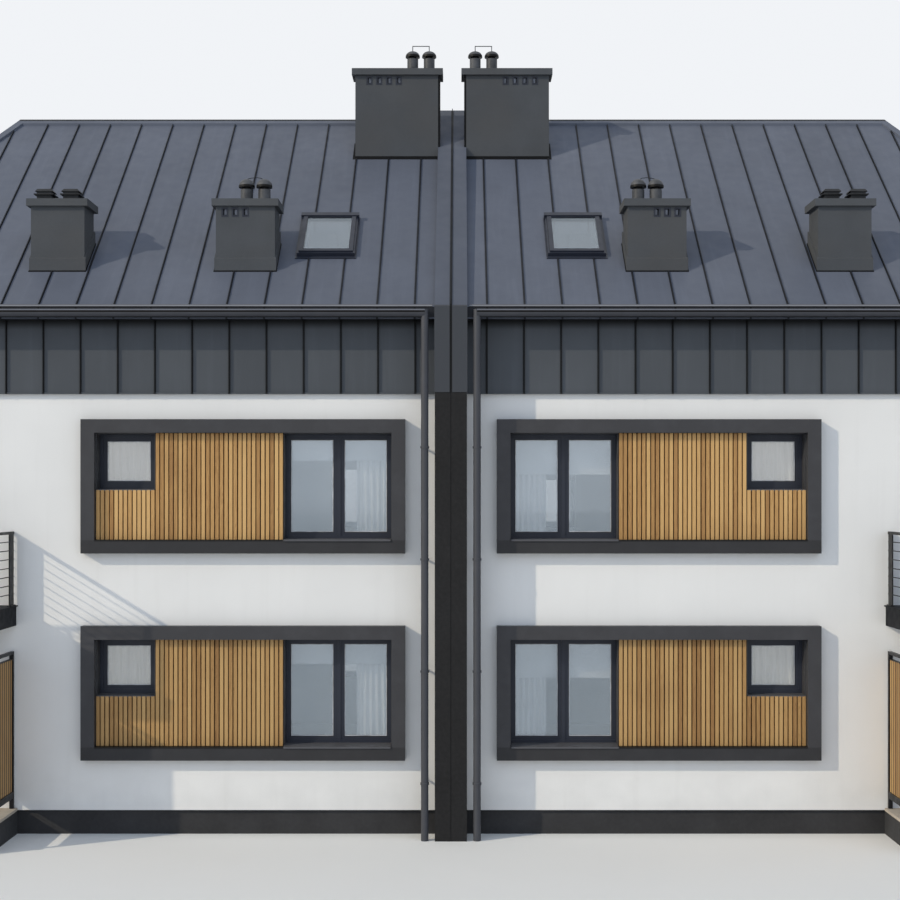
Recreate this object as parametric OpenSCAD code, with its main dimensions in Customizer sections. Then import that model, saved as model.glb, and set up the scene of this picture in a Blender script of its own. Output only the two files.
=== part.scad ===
// A block of two mirrored houses under one hipped metal roof, split by a party wall.
// X runs along the front, Y runs into the block and Z runs up from the ground.
// The origin is where the party wall's centre line meets the front wall at ground level.
// The right-hand house is drawn, and the left-hand one is its mirror image.

/* [Block] */
// Half the length of the block, from the party line to an end wall's outer face
half_w = 9420; // [9100:10:10400]
// Depth of the block over its front and back walls
depth = 8540; // [7800:10:9600]
// Thickness of the outer walls
wall_t = 380; // [300:5:450]
// Thickness of the party wall and of its piers
party_w = 450; // [380:5:520]
// How far the party-wall piers stand out from the front and the back
pier_out = 450; // [420:5:600]

/* [Storeys] */
// Height of the plinth
plinth_h = 350; // [260:5:370]
// How far the plinth stands back from the wall above it
plinth_in = 50; // [0:5:80]
// Height of the ground floor above the ground
floor_z = 380; // [380:5:460]
// Rise from each floor to the next
storey_h = 2940; // [2800:10:3200]
// Thickness of the upper floors
floor_t = 280; // [200:10:340]
// Height of the roof's drip edge above the attic floor
attic_wall = 1240; // [1150:10:1500]

/* [Roof] */
// How far the eaves stand out from the walls
eaves_out = 330; // [250:5:400]
// Height of the plumb face under the drip edge
fascia_h = 170; // [100:5:180]
// Height of the ridge above the drip edge
roof_rise = 3710; // [3300:10:4200]
// Run of each hipped end, measured along the block
hip_run = 2380; // [2000:10:2700]
// Plumb thickness of the roof slopes
roof_t = 280; // [220:5:340]
// Height of the party wall's metal capping over the ridge
capping_h = 200; // [120:5:260]
// Height of that capping over the piers' tops
capping_low = 95; // [60:5:200]
// Thickness of the capping where it wraps the wall's sides and the piers
capping_t = 6; // [4:1:30]
// Height of the metal cladding under the soffit
clad_h = 1040; // [900:10:1200]
// Thickness of the metal cladding
clad_t = 50; // [30:5:70]

/* [Standing seams] */
// Distance between two seams of the roof and the cladding
seam_gap = 530; // [480:5:600]
// Distance from the party line to the first seam
seam_x = 510; // [430:5:540]
// Height of the seams over their sheets
seam_h = 30; // [20:1:40]
// Width of the seams
seam_w = 12; // [8:1:20]
// Width of the ridge and hip caps on each side
cap_w = 110; // [80:5:140]
// Height of the ridge and hip caps over the slopes
cap_h = 45; // [42:1:60]

/* [Rainwater] */
// Width of the gutters
gutter_w = 130; // [100:5:150]
// Depth of the gutters
gutter_h = 114; // [100:2:150]
// Drop from the drip edge to a gutter's rim
gutter_drop = 45; // [20:5:60]
// Metal thickness of gutters and downpipes
sheet_t = 4; // [3:1:6]
// Outside diameter of the downpipes
pipe_d = 105; // [80:5:120]
// Distance from the party line to a downpipe's centre
pipe_x = 367; // [340:1:440]
// Number of clips that hold a downpipe to the wall
pipe_clips = 4; // [2:1:6]

/* [Window surrounds] */
// Distance from the party line to a surround's near side
surround_x = 652; // [600:1:700]
// Length of a surround
surround_w = 4606; // [4400:2:4900]
// Height of a surround
surround_h = 1907; // [1800:1:2000]
// Width of a surround's face
surround_face = 192; // [120:2:220]
// How far a surround stands out from the wall
surround_out = 150; // [100:5:220]
// Height of a surround's middle above its floor
surround_mid = 1653; // [1560:1:1700]
// How far the timber panel stands out from the wall
panel_out = 30; // [20:5:50]

/* [Windows and doors] */
// Width of the double windows
double_w = 1545; // [1300:5:1700]
// Width of the small windows
small_w = 848; // [700:2:950]
// Height of the small windows
small_h = 811; // [700:1:950]
// Depth of the reveals, from the wall's face to the window frame
reveal = 180; // [120:5:200]
// Thickness of the metal that lines the reveals
lining_t = 12; // [8:1:16]
// Depth of the window frames
frame_d = 80; // [60:5:100]
// Width of the upright bars beside a double window's panes
frame_bar = 74; // [60:1:90]
// Width of the level bars over and under a double window's panes
frame_rail = 84; // [70:1:110]
// Width of the two meeting stiles between a double window's panes
frame_mid = 147; // [120:1:180]
// Width of a small window's bars
small_bar = 105; // [80:1:120]
// Width of the part of each bar that belongs to the sash
sash_bar = 46; // [36:1:52]
// How far the sashes stand back from their outer frame
sash_in = 14; // [6:1:20]
// Thickness of the glass units
glass_t = 28; // [20:1:36]
// Width of the terrace and balcony doors
door_w = 1800; // [1500:10:1900]
// Distance from the end wall's outer face to the doors' middle
door_in = 1700; // [1600:10:1900]

/* [Chimneys] */
// Width of the chimneys beside the party wall
ridge_stack_w = 1355; // [1250:5:1400]
// Depth of the chimneys beside the party wall
ridge_stack_d = 360; // [300:10:500]
// Distance from the ridge line to the back of a chimney beside the party wall
ridge_stack_back = 680; // [400:10:900]
// How far the caps of those chimneys reach over the party wall's capping
ridge_cap_in = 80; // [60:5:160]
// Height of the caps beside the party wall above the ridge
ridge_stack_rise = 620; // [500:10:800]
// Distance from the party line to the middle of the chimneys over the surrounds
mid_stack_x = 3000; // [2900:10:3100]
// Width of the chimneys over the surrounds
mid_stack_w = 860; // [700:10:900]
// Distance from the party line to the middle of the chimneys near the hips
outer_stack_x = 5735; // [5600:5:5900]
// Width of the chimneys near the hips
outer_stack_w = 780; // [650:10:900]
// Depth of the chimneys at the eaves
low_stack_d = 570; // [480:10:700]
// Distance from the front wall to the face of the chimneys at the eaves
low_stack_y = 440; // [350:10:600]
// Height of the caps at the eaves above the drip edge
low_stack_rise = 1663; // [1500:10:1900]
// How far the caps stand out from the chimneys
cap_out = 55; // [40:5:80]
// Thickness of the caps
cap_t = 105; // [80:5:130]
// Height of the flashing collars round the chimneys
collar_h = 190; // [120:10:240]
// Thickness of the flashing collars
collar_t = 20; // [10:5:40]
// Width of the vent slots under the caps
vent_w = 66; // [50:2:80]
// Height of the vent slots
vent_h = 107; // [80:1:130]
// Diameter of the flue pots
pot_d = 180; // [150:5:200]
// Diameter of the flue pots' hats
hat_d = 236; // [210:2:250]
// Distance between the middles of two flue pots beside the party wall
pot_gap = 272; // [262:2:320]

/* [Skylights] */
// Distance from the party line to a skylight's middle
skylight_x = 1855; // [1800:5:1900]
// Distance from the front wall to a skylight's lower edge
skylight_y = 745; // [700:5:1000]
// Width of the skylights
skylight_w = 860; // [780:5:940]
// Length of the skylights up the slope
skylight_l = 1160; // [1000:10:1400]
// Width of a skylight's frame
skylight_bar = 95; // [80:5:120]
// Height of a skylight's frame over the roof
skylight_h = 90; // [60:5:120]
// Length of the metal apron below a skylight
skylight_apron = 60; // [40:5:180]
// Width of the flashing beside a skylight
skylight_skirt = 20; // [10:5:60]

/* [Balconies and terraces] */
// Distance from the party line to a balcony's near side
balcony_x = 6210; // [6000:5:6300]
// Length of a balcony
balcony_w = 2960; // [2700:10:3100]
// How far the balconies stand out from the wall
balcony_out = 1250; // [900:10:1500]
// Thickness of the balcony slabs
balcony_t = 290; // [200:5:340]
// Step down from the upper floor to the balcony
balcony_step = 45; // [20:5:80]
// Thickness of the metal plate on the balcony
deck_t = 16; // [10:1:30]
// How far that plate stands past the balcony's sides
deck_out = 24; // [10:2:40]
// Height of the railings
rail_h = 1055; // [950:5:1150]
// Side of the railings' square posts and width of their handrails
rail_post = 40; // [34:2:60]
// Depth of the railings' flat posts at the wall
plate_d = 196; // [120:4:240]
// Side of the screens' square posts
post = 56; // [40:2:70]
// Number of level bars under the handrail
rail_bars = 7; // [5:1:9]
// Diameter of those bars
bar_d = 14; // [10:1:20]
// Height of the terraces
terrace_h = 379; // [300:1:380]
// Thickness of the slabs on the terraces
paving_t = 40; // [30:5:60]
// Height of the terrace screens' top over the terrace
screen_h = 2240; // [2000:10:2300]
// Number of upright boards in a terrace screen
screen_boards = 4; // [3:1:8]

/* [Hidden] */
$fn = 48;

render_white = [0.86, 0.85, 0.83];
roof_grey = [0.30, 0.32, 0.36];
clad_grey = [0.28, 0.28, 0.29];
frame_grey = [0.21, 0.21, 0.22];
base_grey = [0.16, 0.16, 0.16];
stack_grey = [0.31, 0.31, 0.30];
timber = [0.68, 0.46, 0.24];
glass_blue = [0.62, 0.70, 0.76];
concrete = [0.62, 0.60, 0.57];

over = 3000; // cutting pieces reach this far past what they cut

// Roof lines
eaves_z = floor_z + 2 * storey_h + attic_wall;
ridge_z = eaves_z + roof_rise;
soffit_z = eaves_z - fascia_h;
clad_z = soffit_z - clad_h;
mid_y = depth / 2;
half_run = mid_y + eaves_out;
slope = roof_rise / half_run;
pitch = atan(slope);
hip_x = half_w + eaves_out;
ridge_x = hip_x - hip_run;
hip_slope = roof_rise / hip_run;
party_x = party_w / 2;
capping_x = party_x + capping_t;
function front_z(y) = eaves_z + (y + eaves_out) * slope;

// The outermost seams keep this far from the ends of the eaves
seam_clear = 350;
seam_xs = [for (x = [seam_x : seam_gap : hip_x - seam_clear]) x];
hip_seams = floor((half_run - seam_clear) / seam_gap);
hip_seam_ys = [for (i = [-hip_seams : hip_seams]) mid_y + i * seam_gap];

// Window and door places in the front wall: [left, bottom, width, height]
inner_x = surround_x + surround_face;
inner_w = surround_w - 2 * surround_face;
inner_h = surround_h - 2 * surround_face;
function mid_z(storey) = floor_z + storey * storey_h + surround_mid;
function double_hole(storey) = [inner_x, mid_z(storey) - inner_h / 2, double_w, inner_h];
function small_hole(storey) =
    [inner_x + inner_w - small_w, mid_z(storey) + inner_h / 2 - small_h, small_w, small_h];
function door_hole(storey) = [half_w - door_in - door_w / 2, floor_z + storey * storey_h,
    door_w, surround_mid + inner_h / 2];
front_holes = [for (storey = [0, 1]) each
    [double_hole(storey), small_hole(storey), door_hole(storey)]];
back_holes = [for (storey = [0, 1]) each [double_hole(storey), small_hole(storey)]];

// Sills: thickness at the back, overhang, depth and thickness of the hanging lip
sill_t = 14;
sill_out = 20;
sill_lip = 18;
lip_t = 6;

// Chimney footprints on the front slope: [left, front, width, depth]
ridge_foot = [capping_x, mid_y - ridge_stack_back - ridge_stack_d, ridge_stack_w,
    ridge_stack_d];
mid_foot = [mid_stack_x - mid_stack_w / 2, low_stack_y, mid_stack_w, low_stack_d];
outer_foot = [outer_stack_x - outer_stack_w / 2, low_stack_y, outer_stack_w, low_stack_d];
stack_low_z = eaves_z + low_stack_rise;
stack_ridge_z = ridge_z + ridge_stack_rise;

// The left-hand house is the right-hand one mirrored in the party line
module left() { mirror([1, 0, 0]) children(); }
module both() { children(); left() children(); }

// The back is the front turned over the ridge line
module back() { translate([0, depth, 0]) mirror([0, 1, 0]) children(); }

// A box from its lowest corner and its size
module block(at, size) { translate(at) cube(size); }

// An outline in Y and Z, drawn out along X from x0 to x1
module along_x(x0, x1) {
    translate([x0, 0, 0]) rotate([90, 0, 90]) linear_extrude(x1 - x0) children();
}

// An outline in X and Z, drawn out along Y from y0 to y1
module along_y(y0, y1) {
    translate([0, y1, 0]) rotate([90, 0, 0]) linear_extrude(y1 - y0) children();
}

// Everything under the roof slopes' undersides, with the level soffits
module under_roof() {
    top = ridge_z - roof_t;
    flat_y = -eaves_out + (roof_t - fascia_h) / slope;
    flat_x = hip_x - (roof_t - fascia_h) / hip_slope;
    intersection() {
        along_x(-hip_x - over, hip_x + over) polygon([[-over, -over], [depth + over, -over],
            [depth + over, soffit_z], [depth - flat_y, soffit_z], [mid_y, top],
            [flat_y, soffit_z], [-over, soffit_z]]);
        along_y(-over, depth + over) polygon([[-hip_x - over, -over], [hip_x + over, -over],
            [hip_x + over, soffit_z], [flat_x, soffit_z], [ridge_x, top],
            [-ridge_x, top], [-flat_x, soffit_z], [-hip_x - over, soffit_z]]);
    }
}

// Floors, split by the party wall
module floor_pair(z, t, inset) {
    color(concrete) both() block([party_x, inset, z - t],
        [half_w - inset - party_x, depth - 2 * inset, t]);
}
module ground_floor() { floor_pair(floor_z, floor_z, plinth_in + wall_t); }
module upper_floor() { floor_pair(floor_z + storey_h, floor_t, wall_t); }
module attic_floor() { floor_pair(floor_z + 2 * storey_h, floor_t, wall_t); }

// The party wall runs from pier to pier and up to the roof's upper surface.
// A joint down the piers' faces splits them between the two houses.
joint = 8;
module party_outline(grow, low, high) {
    y0 = -pier_out - grow;
    y1 = depth + pier_out + grow;
    polygon([[y0, 0], [y1, 0], [y1, front_z(y0) + low], [mid_y, ridge_z + high],
        [y0, front_z(y0) + low]]);
}
module party_wall() {
    color(base_grey) difference() {
        along_x(-party_x, party_x) party_outline(0, 0, 0);
        for (y = [-pier_out, depth + pier_out])
            block([-joint / 2, y - joint, -1], [joint, 2 * joint, clad_z + 1]);
    }
}

// The metal capping follows both slopes and comes down over the piers' upper parts.
// It has a standing seam along its slopes and a joint down its upright faces.
module party_capping() {
    color(clad_grey) difference() {
        union() {
            along_x(-capping_x, capping_x)
                party_outline(capping_t, capping_low, capping_h);
            along_x(-seam_w / 2, seam_w / 2)
                party_outline(capping_t, capping_low + seam_h, capping_h + seam_h);
        }
        block([-over, -over, -1], [2 * over, depth + 2 * over, clad_z + 1]);
        along_x(-party_x, party_x) party_outline(0, 0, 0);
        for (y = [-pier_out, depth + pier_out])
            block([-joint / 2, y - capping_t - 1, clad_z], [joint, 2 * capping_t + 2,
                front_z(-pier_out) - clad_z]);
        block([-over, -clad_t, 0], [2 * over, depth + 2 * clad_t, soffit_z]);
        along_x(-over, over) polygon([[-eaves_out, soffit_z], [depth + eaves_out, soffit_z],
            [depth + eaves_out, eaves_z], [mid_y, ridge_z], [-eaves_out, eaves_z]]);
    }
}

// Plinth: a low wall round each house, set back from the wall above
module plinth() {
    color(base_grey) linear_extrude(plinth_h) difference() {
        translate([party_x, plinth_in])
            square([half_w - plinth_in - party_x, depth - 2 * plinth_in]);
        translate([0, plinth_in + wall_t])
            square([half_w - plinth_in - wall_t, depth - 2 * (plinth_in + wall_t)]);
    }
}

// Outer walls
module long_wall(holes) {
    color(render_white) intersection() {
        difference() {
            block([party_x, 0, plinth_h], [half_w - party_x, wall_t, ridge_z]);
            for (hole = holes)
                block([hole[0], -1, hole[1]], [hole[2], wall_t + 2, hole[3]]);
        }
        under_roof();
    }
}
module end_wall() {
    color(render_white) intersection() {
        block([half_w - wall_t, wall_t, plinth_h], [wall_t, depth - 2 * wall_t, ridge_z]);
        under_roof();
    }
}

// Metal cladding between the render and the soffit, round three sides, with standing
// seams in line with the roof's and a drip edge at its foot
drip_out = 15;
drip_h = 25;
module clad_ring(x0, out, h) {
    translate([0, 0, clad_z]) linear_extrude(h) difference() {
        translate([x0, -out]) square([half_w + out - x0, depth + 2 * out]);
        square([half_w, depth]);
    }
}
module cladding() {
    out = clad_t + seam_h;
    color(clad_grey) intersection() {
        union() {
            clad_ring(party_x, clad_t, roof_rise);
            clad_ring(capping_x, clad_t + drip_out, drip_h);
            for (x = seam_xs)
                if (x > capping_x && x < half_w) {
                    block([x - seam_w / 2, -out, clad_z], [seam_w, seam_h + 1, roof_rise]);
                    block([x - seam_w / 2, depth + clad_t - 1, clad_z],
                        [seam_w, seam_h + 1, roof_rise]);
                }
            for (y = hip_seam_ys)
                if (y > 0 && y < depth)
                    block([half_w + clad_t - 1, y - seam_w / 2, clad_z],
                        [seam_h + 1, seam_w, roof_rise]);
        }
        under_roof();
    }
}

// Roof slopes in plan, and the strips that the ridge and hip caps cover
module front_plan(x0) {
    polygon([[x0, -eaves_out], [hip_x, -eaves_out], [ridge_x, mid_y], [x0, mid_y]]);
}
module hip_plan() {
    polygon([[hip_x, -eaves_out], [hip_x, depth + eaves_out], [ridge_x, mid_y]]);
}
module cap_plan() {
    translate([0, mid_y - cap_w]) square([ridge_x, 2 * cap_w]);
    for (turn = [-1, 1]) translate([ridge_x, mid_y]) rotate(turn * atan(half_run / hip_run))
        translate([-cap_w, -cap_w]) square([half_run + over, 2 * cap_w]);
}

// Roof slopes: plates with plumb fascias and level soffits, mitred at the hips
module slope_outline(start, run, rise_per) {
    flat = (roof_t - fascia_h) / rise_per;
    polygon([[start, soffit_z], [start + flat, soffit_z],
        [start + run, eaves_z + run * rise_per - roof_t],
        [start + run, eaves_z + run * rise_per], [start, eaves_z]]);
}

// A layer on a slope, from the eaves to the ridge, with its foot at a depth in the sheet
module layer_outline(start, run, lift, foot = 0) {
    polygon([[start, eaves_z - foot], [start + run, ridge_z - foot],
        [start + run, ridge_z + lift], [start, eaves_z + lift]]);
}

// Standing seams run up each slope from the eaves to the ridge and hip caps
module front_seams() {
    intersection() {
        for (x = seam_xs) along_x(x - seam_w / 2, x + seam_w / 2)
            layer_outline(-eaves_out, half_run, seam_h, seam_w);
        linear_extrude(ridge_z + over) difference() {
            front_plan(party_x);
            cap_plan();
        }
    }
}

// Room that the front seams leave for the chimneys and the skylights
module fittings_room() {
    margin = collar_t + 25;
    for (foot = [ridge_foot, mid_foot, outer_foot])
        block([foot[0] - margin, foot[1] - margin, 0],
            [foot[2] + 2 * margin, foot[3] + 2 * margin, ridge_z + over]);
    on_slope(skylight_x, skylight_y)
        block([-skylight_w / 2 - skylight_skirt, -skylight_apron, -seam_h],
            [skylight_w + 2 * skylight_skirt, skylight_l + skylight_apron + skylight_skirt,
            3 * seam_h]);
}
module plain_slope() {
    intersection() {
        along_x(party_x, hip_x) slope_outline(-eaves_out, half_run, slope);
        linear_extrude(ridge_z + over) front_plan(party_x);
    }
}
module front_roof() {
    color(roof_grey) union() {
        difference() {
            plain_slope();
            on_slope(skylight_x, skylight_y)
                block([skylight_bar - skylight_w / 2, skylight_bar, -roof_t],
                    [skylight_w - 2 * skylight_bar, skylight_l - 2 * skylight_bar,
                    2 * roof_t]);
        }
        difference() {
            front_seams();
            fittings_room();
        }
    }
}
module back_roof() {
    color(roof_grey) back() {
        plain_slope();
        front_seams();
    }
}
module hip_roof() {
    color(roof_grey) {
        intersection() {
            along_y(-eaves_out, depth + eaves_out) mirror([1, 0])
                slope_outline(-hip_x, hip_run, hip_slope);
            linear_extrude(ridge_z + over) hip_plan();
        }
        intersection() {
            for (y = hip_seam_ys) along_y(y - seam_w / 2, y + seam_w / 2) mirror([1, 0])
                layer_outline(-hip_x, hip_run, seam_h, seam_w);
            linear_extrude(ridge_z + over) difference() {
                hip_plan();
                cap_plan();
            }
        }
    }
}

// Metal caps along the ridge and the hips, mitred where they meet
module front_cap() {
    intersection() {
        along_x(0, hip_x) layer_outline(-eaves_out, half_run, cap_h);
        linear_extrude(ridge_z + over) intersection() {
            front_plan(capping_x);
            cap_plan();
        }
    }
}
module hip_cap() {
    intersection() {
        along_y(-eaves_out, depth + eaves_out) mirror([1, 0])
            layer_outline(-hip_x, hip_run, cap_h);
        linear_extrude(ridge_z + over) intersection() {
            hip_plan();
            cap_plan();
        }
    }
}
module roof_ridges() {
    color(roof_grey) both() {
        front_cap();
        back() front_cap();
        hip_cap();
    }
}

// Gutters: a round-bottomed channel along each eaves with a rolled outer rim,
// mitred at the corners
bead_d = 18;
module gutter_outline() {
    r = gutter_w / 2;
    translate([-gutter_w, 0]) {
        difference() {
            union() {
                translate([r, r]) circle(r);
                translate([0, r]) square([gutter_w, gutter_h - r]);
            }
            translate([r, r]) circle(r - sheet_t);
            translate([sheet_t, r]) square([gutter_w - 2 * sheet_t, gutter_h]);
        }
        translate([bead_d / 2, gutter_h - bead_d / 2]) circle(d = bead_d);
    }
}
gutter_z = eaves_z - gutter_drop - gutter_h;
module front_gutter() {
    intersection() {
        along_x(pipe_x, hip_x + gutter_w)
            translate([-eaves_out, gutter_z]) gutter_outline();
        linear_extrude(ridge_z) polygon([[0, -eaves_out], [hip_x, -eaves_out],
            [hip_x + over, -eaves_out - over], [0, -eaves_out - over]]);
    }
}
module end_gutter() {
    intersection() {
        along_y(-eaves_out - gutter_w, depth + eaves_out + gutter_w)
            translate([hip_x, gutter_z]) mirror([1, 0]) gutter_outline();
        linear_extrude(ridge_z) polygon([[hip_x, -eaves_out],
            [hip_x + over, -eaves_out - over], [hip_x + over, depth + eaves_out + over],
            [hip_x, depth + eaves_out]]);
    }
}
module gutter() {
    color(clad_grey) difference() {
        union() {
            front_gutter();
            back() front_gutter();
            end_gutter();
        }
        pipe_solid();
        back() pipe_solid();
    }
}

// Downpipes stand on the ground, take the gutters' ends and are clipped to the walls
pipe_y = -eaves_out - gutter_w / 2;
clip_h = 30;
clip_t = 10;
module pipe_solid() {
    translate([pipe_x, pipe_y, 0]) cylinder(d = pipe_d, h = gutter_z + gutter_h);
}
module pipe_clip(z) {
    translate([pipe_x, pipe_y, z]) cylinder(d = pipe_d + 2 * clip_t, h = clip_h);
    block([pipe_x - clip_t / 2, pipe_y, z], [clip_t, -pipe_y, clip_h]);
}
module downpipe() {
    difference() {
        union() {
            pipe_solid();
            for (i = [0 : pipe_clips - 1]) pipe_clip(clad_z * (i + 0.5) / pipe_clips);
        }
        translate([pipe_x, pipe_y, -1])
            cylinder(d = pipe_d - 2 * sheet_t, h = gutter_z + gutter_h + 2);
    }
}
module downpipes() {
    color(clad_grey) both() {
        downpipe();
        back() downpipe();
    }
}

// A flat ring in X and Z between two boxes given as [left, bottom, width, height]
module ring(outer, bar, y0, y1) {
    difference() {
        block([outer[0], y0, outer[1]], [outer[2], y1 - y0, outer[3]]);
        block([outer[0] + bar, y0 - 1, outer[1] + bar],
            [outer[2] - 2 * bar, y1 - y0 + 2, outer[3] - 2 * bar]);
    }
}

// Metal lining of an opening's two sides and head, back to the window frame
module lining(hole) {
    difference() {
        block([hole[0], -panel_out, hole[1]], [hole[2], reveal + panel_out, hole[3]]);
        block([hole[0] + lining_t, -over, hole[1] - 1],
            [hole[2] - 2 * lining_t, 2 * over, hole[3] - lining_t + 1]);
    }
}

// Surrounds: a deep metal frame round each pair of windows, with their linings
module surround(storey) {
    ring([surround_x, mid_z(storey) - surround_h / 2, surround_w, surround_h],
        surround_face, -surround_out, 0);
    lining(double_hole(storey));
    lining(small_hole(storey));
}
module surrounds() { for (storey = [0, 1]) both() surround(storey); }
module front_surrounds() { color(frame_grey) surrounds(); }
module back_surrounds() { color(frame_grey) back() surrounds(); }

// Timber panels: an L between the windows and under the small one
module panel(storey) {
    x0 = inner_x + double_w;
    x1 = inner_x + inner_w - small_w;
    z0 = mid_z(storey) - inner_h / 2;
    along_y(-panel_out, 0) polygon([[x0, z0], [x1 + small_w, z0],
        [x1 + small_w, z0 + inner_h - small_h], [x1, z0 + inner_h - small_h],
        [x1, z0 + inner_h], [x0, z0 + inner_h]]);
}
module panels() { for (storey = [0, 1]) both() panel(storey); }
module front_panels() { color(timber) panels(); }
module back_panels() { color(timber) back() panels(); }

// Window frames with one pane or two: the sashes stand back from the outer frame
function panes(hole, side, rail, mid) = let (h = hole[3] - sill_t - 2 * rail)
    mid == 0
    ? [[hole[0] + side, hole[1] + sill_t + rail, hole[2] - 2 * side, h]]
    : let (w = (hole[2] - 2 * side - mid) / 2)
        [for (i = [0, 1]) [hole[0] + side + i * (w + mid), hole[1] + sill_t + rail, w, h]];
function hole_panes(storey, doors) = concat(
    panes(double_hole(storey), frame_bar, frame_rail, frame_mid),
    panes(small_hole(storey), small_bar, small_bar, 0),
    doors ? panes(door_hole(storey), frame_bar, frame_rail, frame_mid) : []);
module frames(holes, doors) {
    difference() {
        for (hole = holes)
            block([hole[0], reveal, hole[1]], [hole[2], frame_d, hole[3]]);
        for (storey = [0, 1], pane = hole_panes(storey, doors)) {
            block([pane[0], 0, pane[1]], [pane[2], wall_t, pane[3]]);
            block([pane[0] - sash_bar, 0, pane[1] - sash_bar],
                [pane[2] + 2 * sash_bar, reveal + sash_in, pane[3] + 2 * sash_bar]);
        }
    }
}
module front_windows() { color(base_grey) both() frames(front_holes, true); }
module back_windows() { color(base_grey) both() back() frames(back_holes, false); }

// Glass units, each in the middle of its frame's depth
module glass(doors) {
    for (storey = [0, 1], pane = hole_panes(storey, doors))
        block([pane[0], reveal + (frame_d - glass_t) / 2, pane[1]],
            [pane[2], glass_t, pane[3]]);
}
module front_glass() { color(glass_blue, 0.5) both() glass(true); }
module back_glass() { color(glass_blue, 0.5) both() back() glass(false); }

// Sills between the linings: they fall to the front and end in a hanging lip.
// The doors have plain thresholds, level with the wall's face.
module sill(hole, out) {
    z = hole[1];
    along_x(hole[0] + lining_t, hole[0] + hole[2] - lining_t) polygon([
        [reveal, z], [reveal, z + sill_t], [-out, z + sill_t / 2], [-out, z - sill_lip],
        [lip_t - out, z - sill_lip], [lip_t - out, z]]);
}
module window_pair_sills() {
    for (storey = [0, 1]) {
        sill(double_hole(storey), surround_out + sill_out);
        sill(small_hole(storey), panel_out + sill_out);
    }
}
module threshold(hole) { block([hole[0], 0, hole[1]], [hole[2], reveal, sill_t]); }
module window_sills() {
    color(frame_grey) both() {
        window_pair_sills();
        back() window_pair_sills();
        for (storey = [0, 1]) threshold(door_hole(storey));
    }
}

// A chimney that stands on the front slope, from its footprint and its top
module stack(foot, top) {
    y0 = foot[1];
    y1 = foot[1] + foot[3];
    along_x(foot[0], foot[0] + foot[2]) polygon([[y0, front_z(y0)], [y1, front_z(y1)],
        [y1, top], [y0, top]]);
}

// A flashing collar round a chimney's foot, which follows the slope
module collar(foot) {
    y0 = foot[1] - collar_t;
    y1 = foot[1] + foot[3] + collar_t;
    along_x(foot[0] - collar_t, foot[0] + foot[2] + collar_t) polygon([
        [y0, front_z(y0)], [y1, front_z(y1)], [y1, front_z(y1) + collar_h],
        [y0, front_z(y0) + collar_h]]);
}

// Vent slots right through a chimney, under its cap, counted from its outer side
vent_drop = 32;
module vents(foot, top, edge, gap, count) {
    for (i = [0 : count - 1])
        block([foot[0] + foot[2] - edge - i * gap - vent_w / 2, foot[1] - 1,
            top - vent_drop - vent_h], [vent_w, foot[3] + 2, vent_h]);
}
module ridge_chimneys() {
    color(stack_grey) both() difference() {
        stack(ridge_foot, stack_ridge_z - cap_t);
        vents(ridge_foot, stack_ridge_z - cap_t, 230, 160, 4);
    }
}
module mid_chimneys() {
    color(stack_grey) both() difference() {
        union() {
            stack(mid_foot, stack_low_z - cap_t);
            collar(mid_foot);
        }
        vents(mid_foot, stack_low_z - cap_t, 130, 151, 3);
    }
}
module outer_chimneys() {
    color(stack_grey) both() {
        stack(outer_foot, stack_low_z - cap_t);
        collar(outer_foot);
    }
}

// Caps over the chimneys, which reach near_out past their side nearest the party wall
module cap(foot, top, near_out) {
    block([foot[0] - near_out, foot[1] - cap_out, top - cap_t],
        [foot[2] + near_out + cap_out, foot[3] + 2 * cap_out, cap_t]);
}
module chimney_caps() {
    color(stack_grey) both() {
        cap(ridge_foot, stack_ridge_z, ridge_cap_in);
        cap(mid_foot, stack_low_z, cap_out);
        cap(outer_foot, stack_low_z, cap_out);
    }
}

// Round flue pots with domed hats on narrower necks
hat_rim = 14;
hat_gap = 28;
module pot(h, dome) {
    hat_r = hat_d / 2;
    hat_z = h + hat_gap;
    rotate_extrude() polygon(concat(
        [[0, 0], [pot_d / 2, 0], [pot_d / 2, h], [pot_d / 3, h], [pot_d / 3, hat_z],
            [hat_r, hat_z]],
        [for (turn = [0 : 10 : 80])
            [hat_r * cos(turn), hat_z + hat_rim + dome * sin(turn)]],
        [[0, hat_z + hat_rim + dome]]));
}

// A pair of pots on a chimney, at a distance from its footprint's near side
module pot_pair(foot, along, gap, z, h, dome) {
    for (i = [-1, 1])
        translate([foot[0] + along + i * gap / 2, foot[1] + foot[3] / 2, z]) pot(h, dome);
}

// The bent rod that ties a pair of hats together
rod_d = 14;
module hat_rod(foot, along, z0, z1) {
    y = foot[1] + foot[3] / 2;
    for (i = [-1, 1]) translate([foot[0] + along + i * pot_gap / 2, y, 0]) {
        translate([0, 0, z0]) cylinder(d = rod_d, h = z1 - z0);
        translate([0, 0, z1]) sphere(d = rod_d);
    }
    translate([foot[0] + along - pot_gap / 2, y, z1]) rotate([0, 90, 0])
        cylinder(d = rod_d, h = pot_gap);
}

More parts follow.
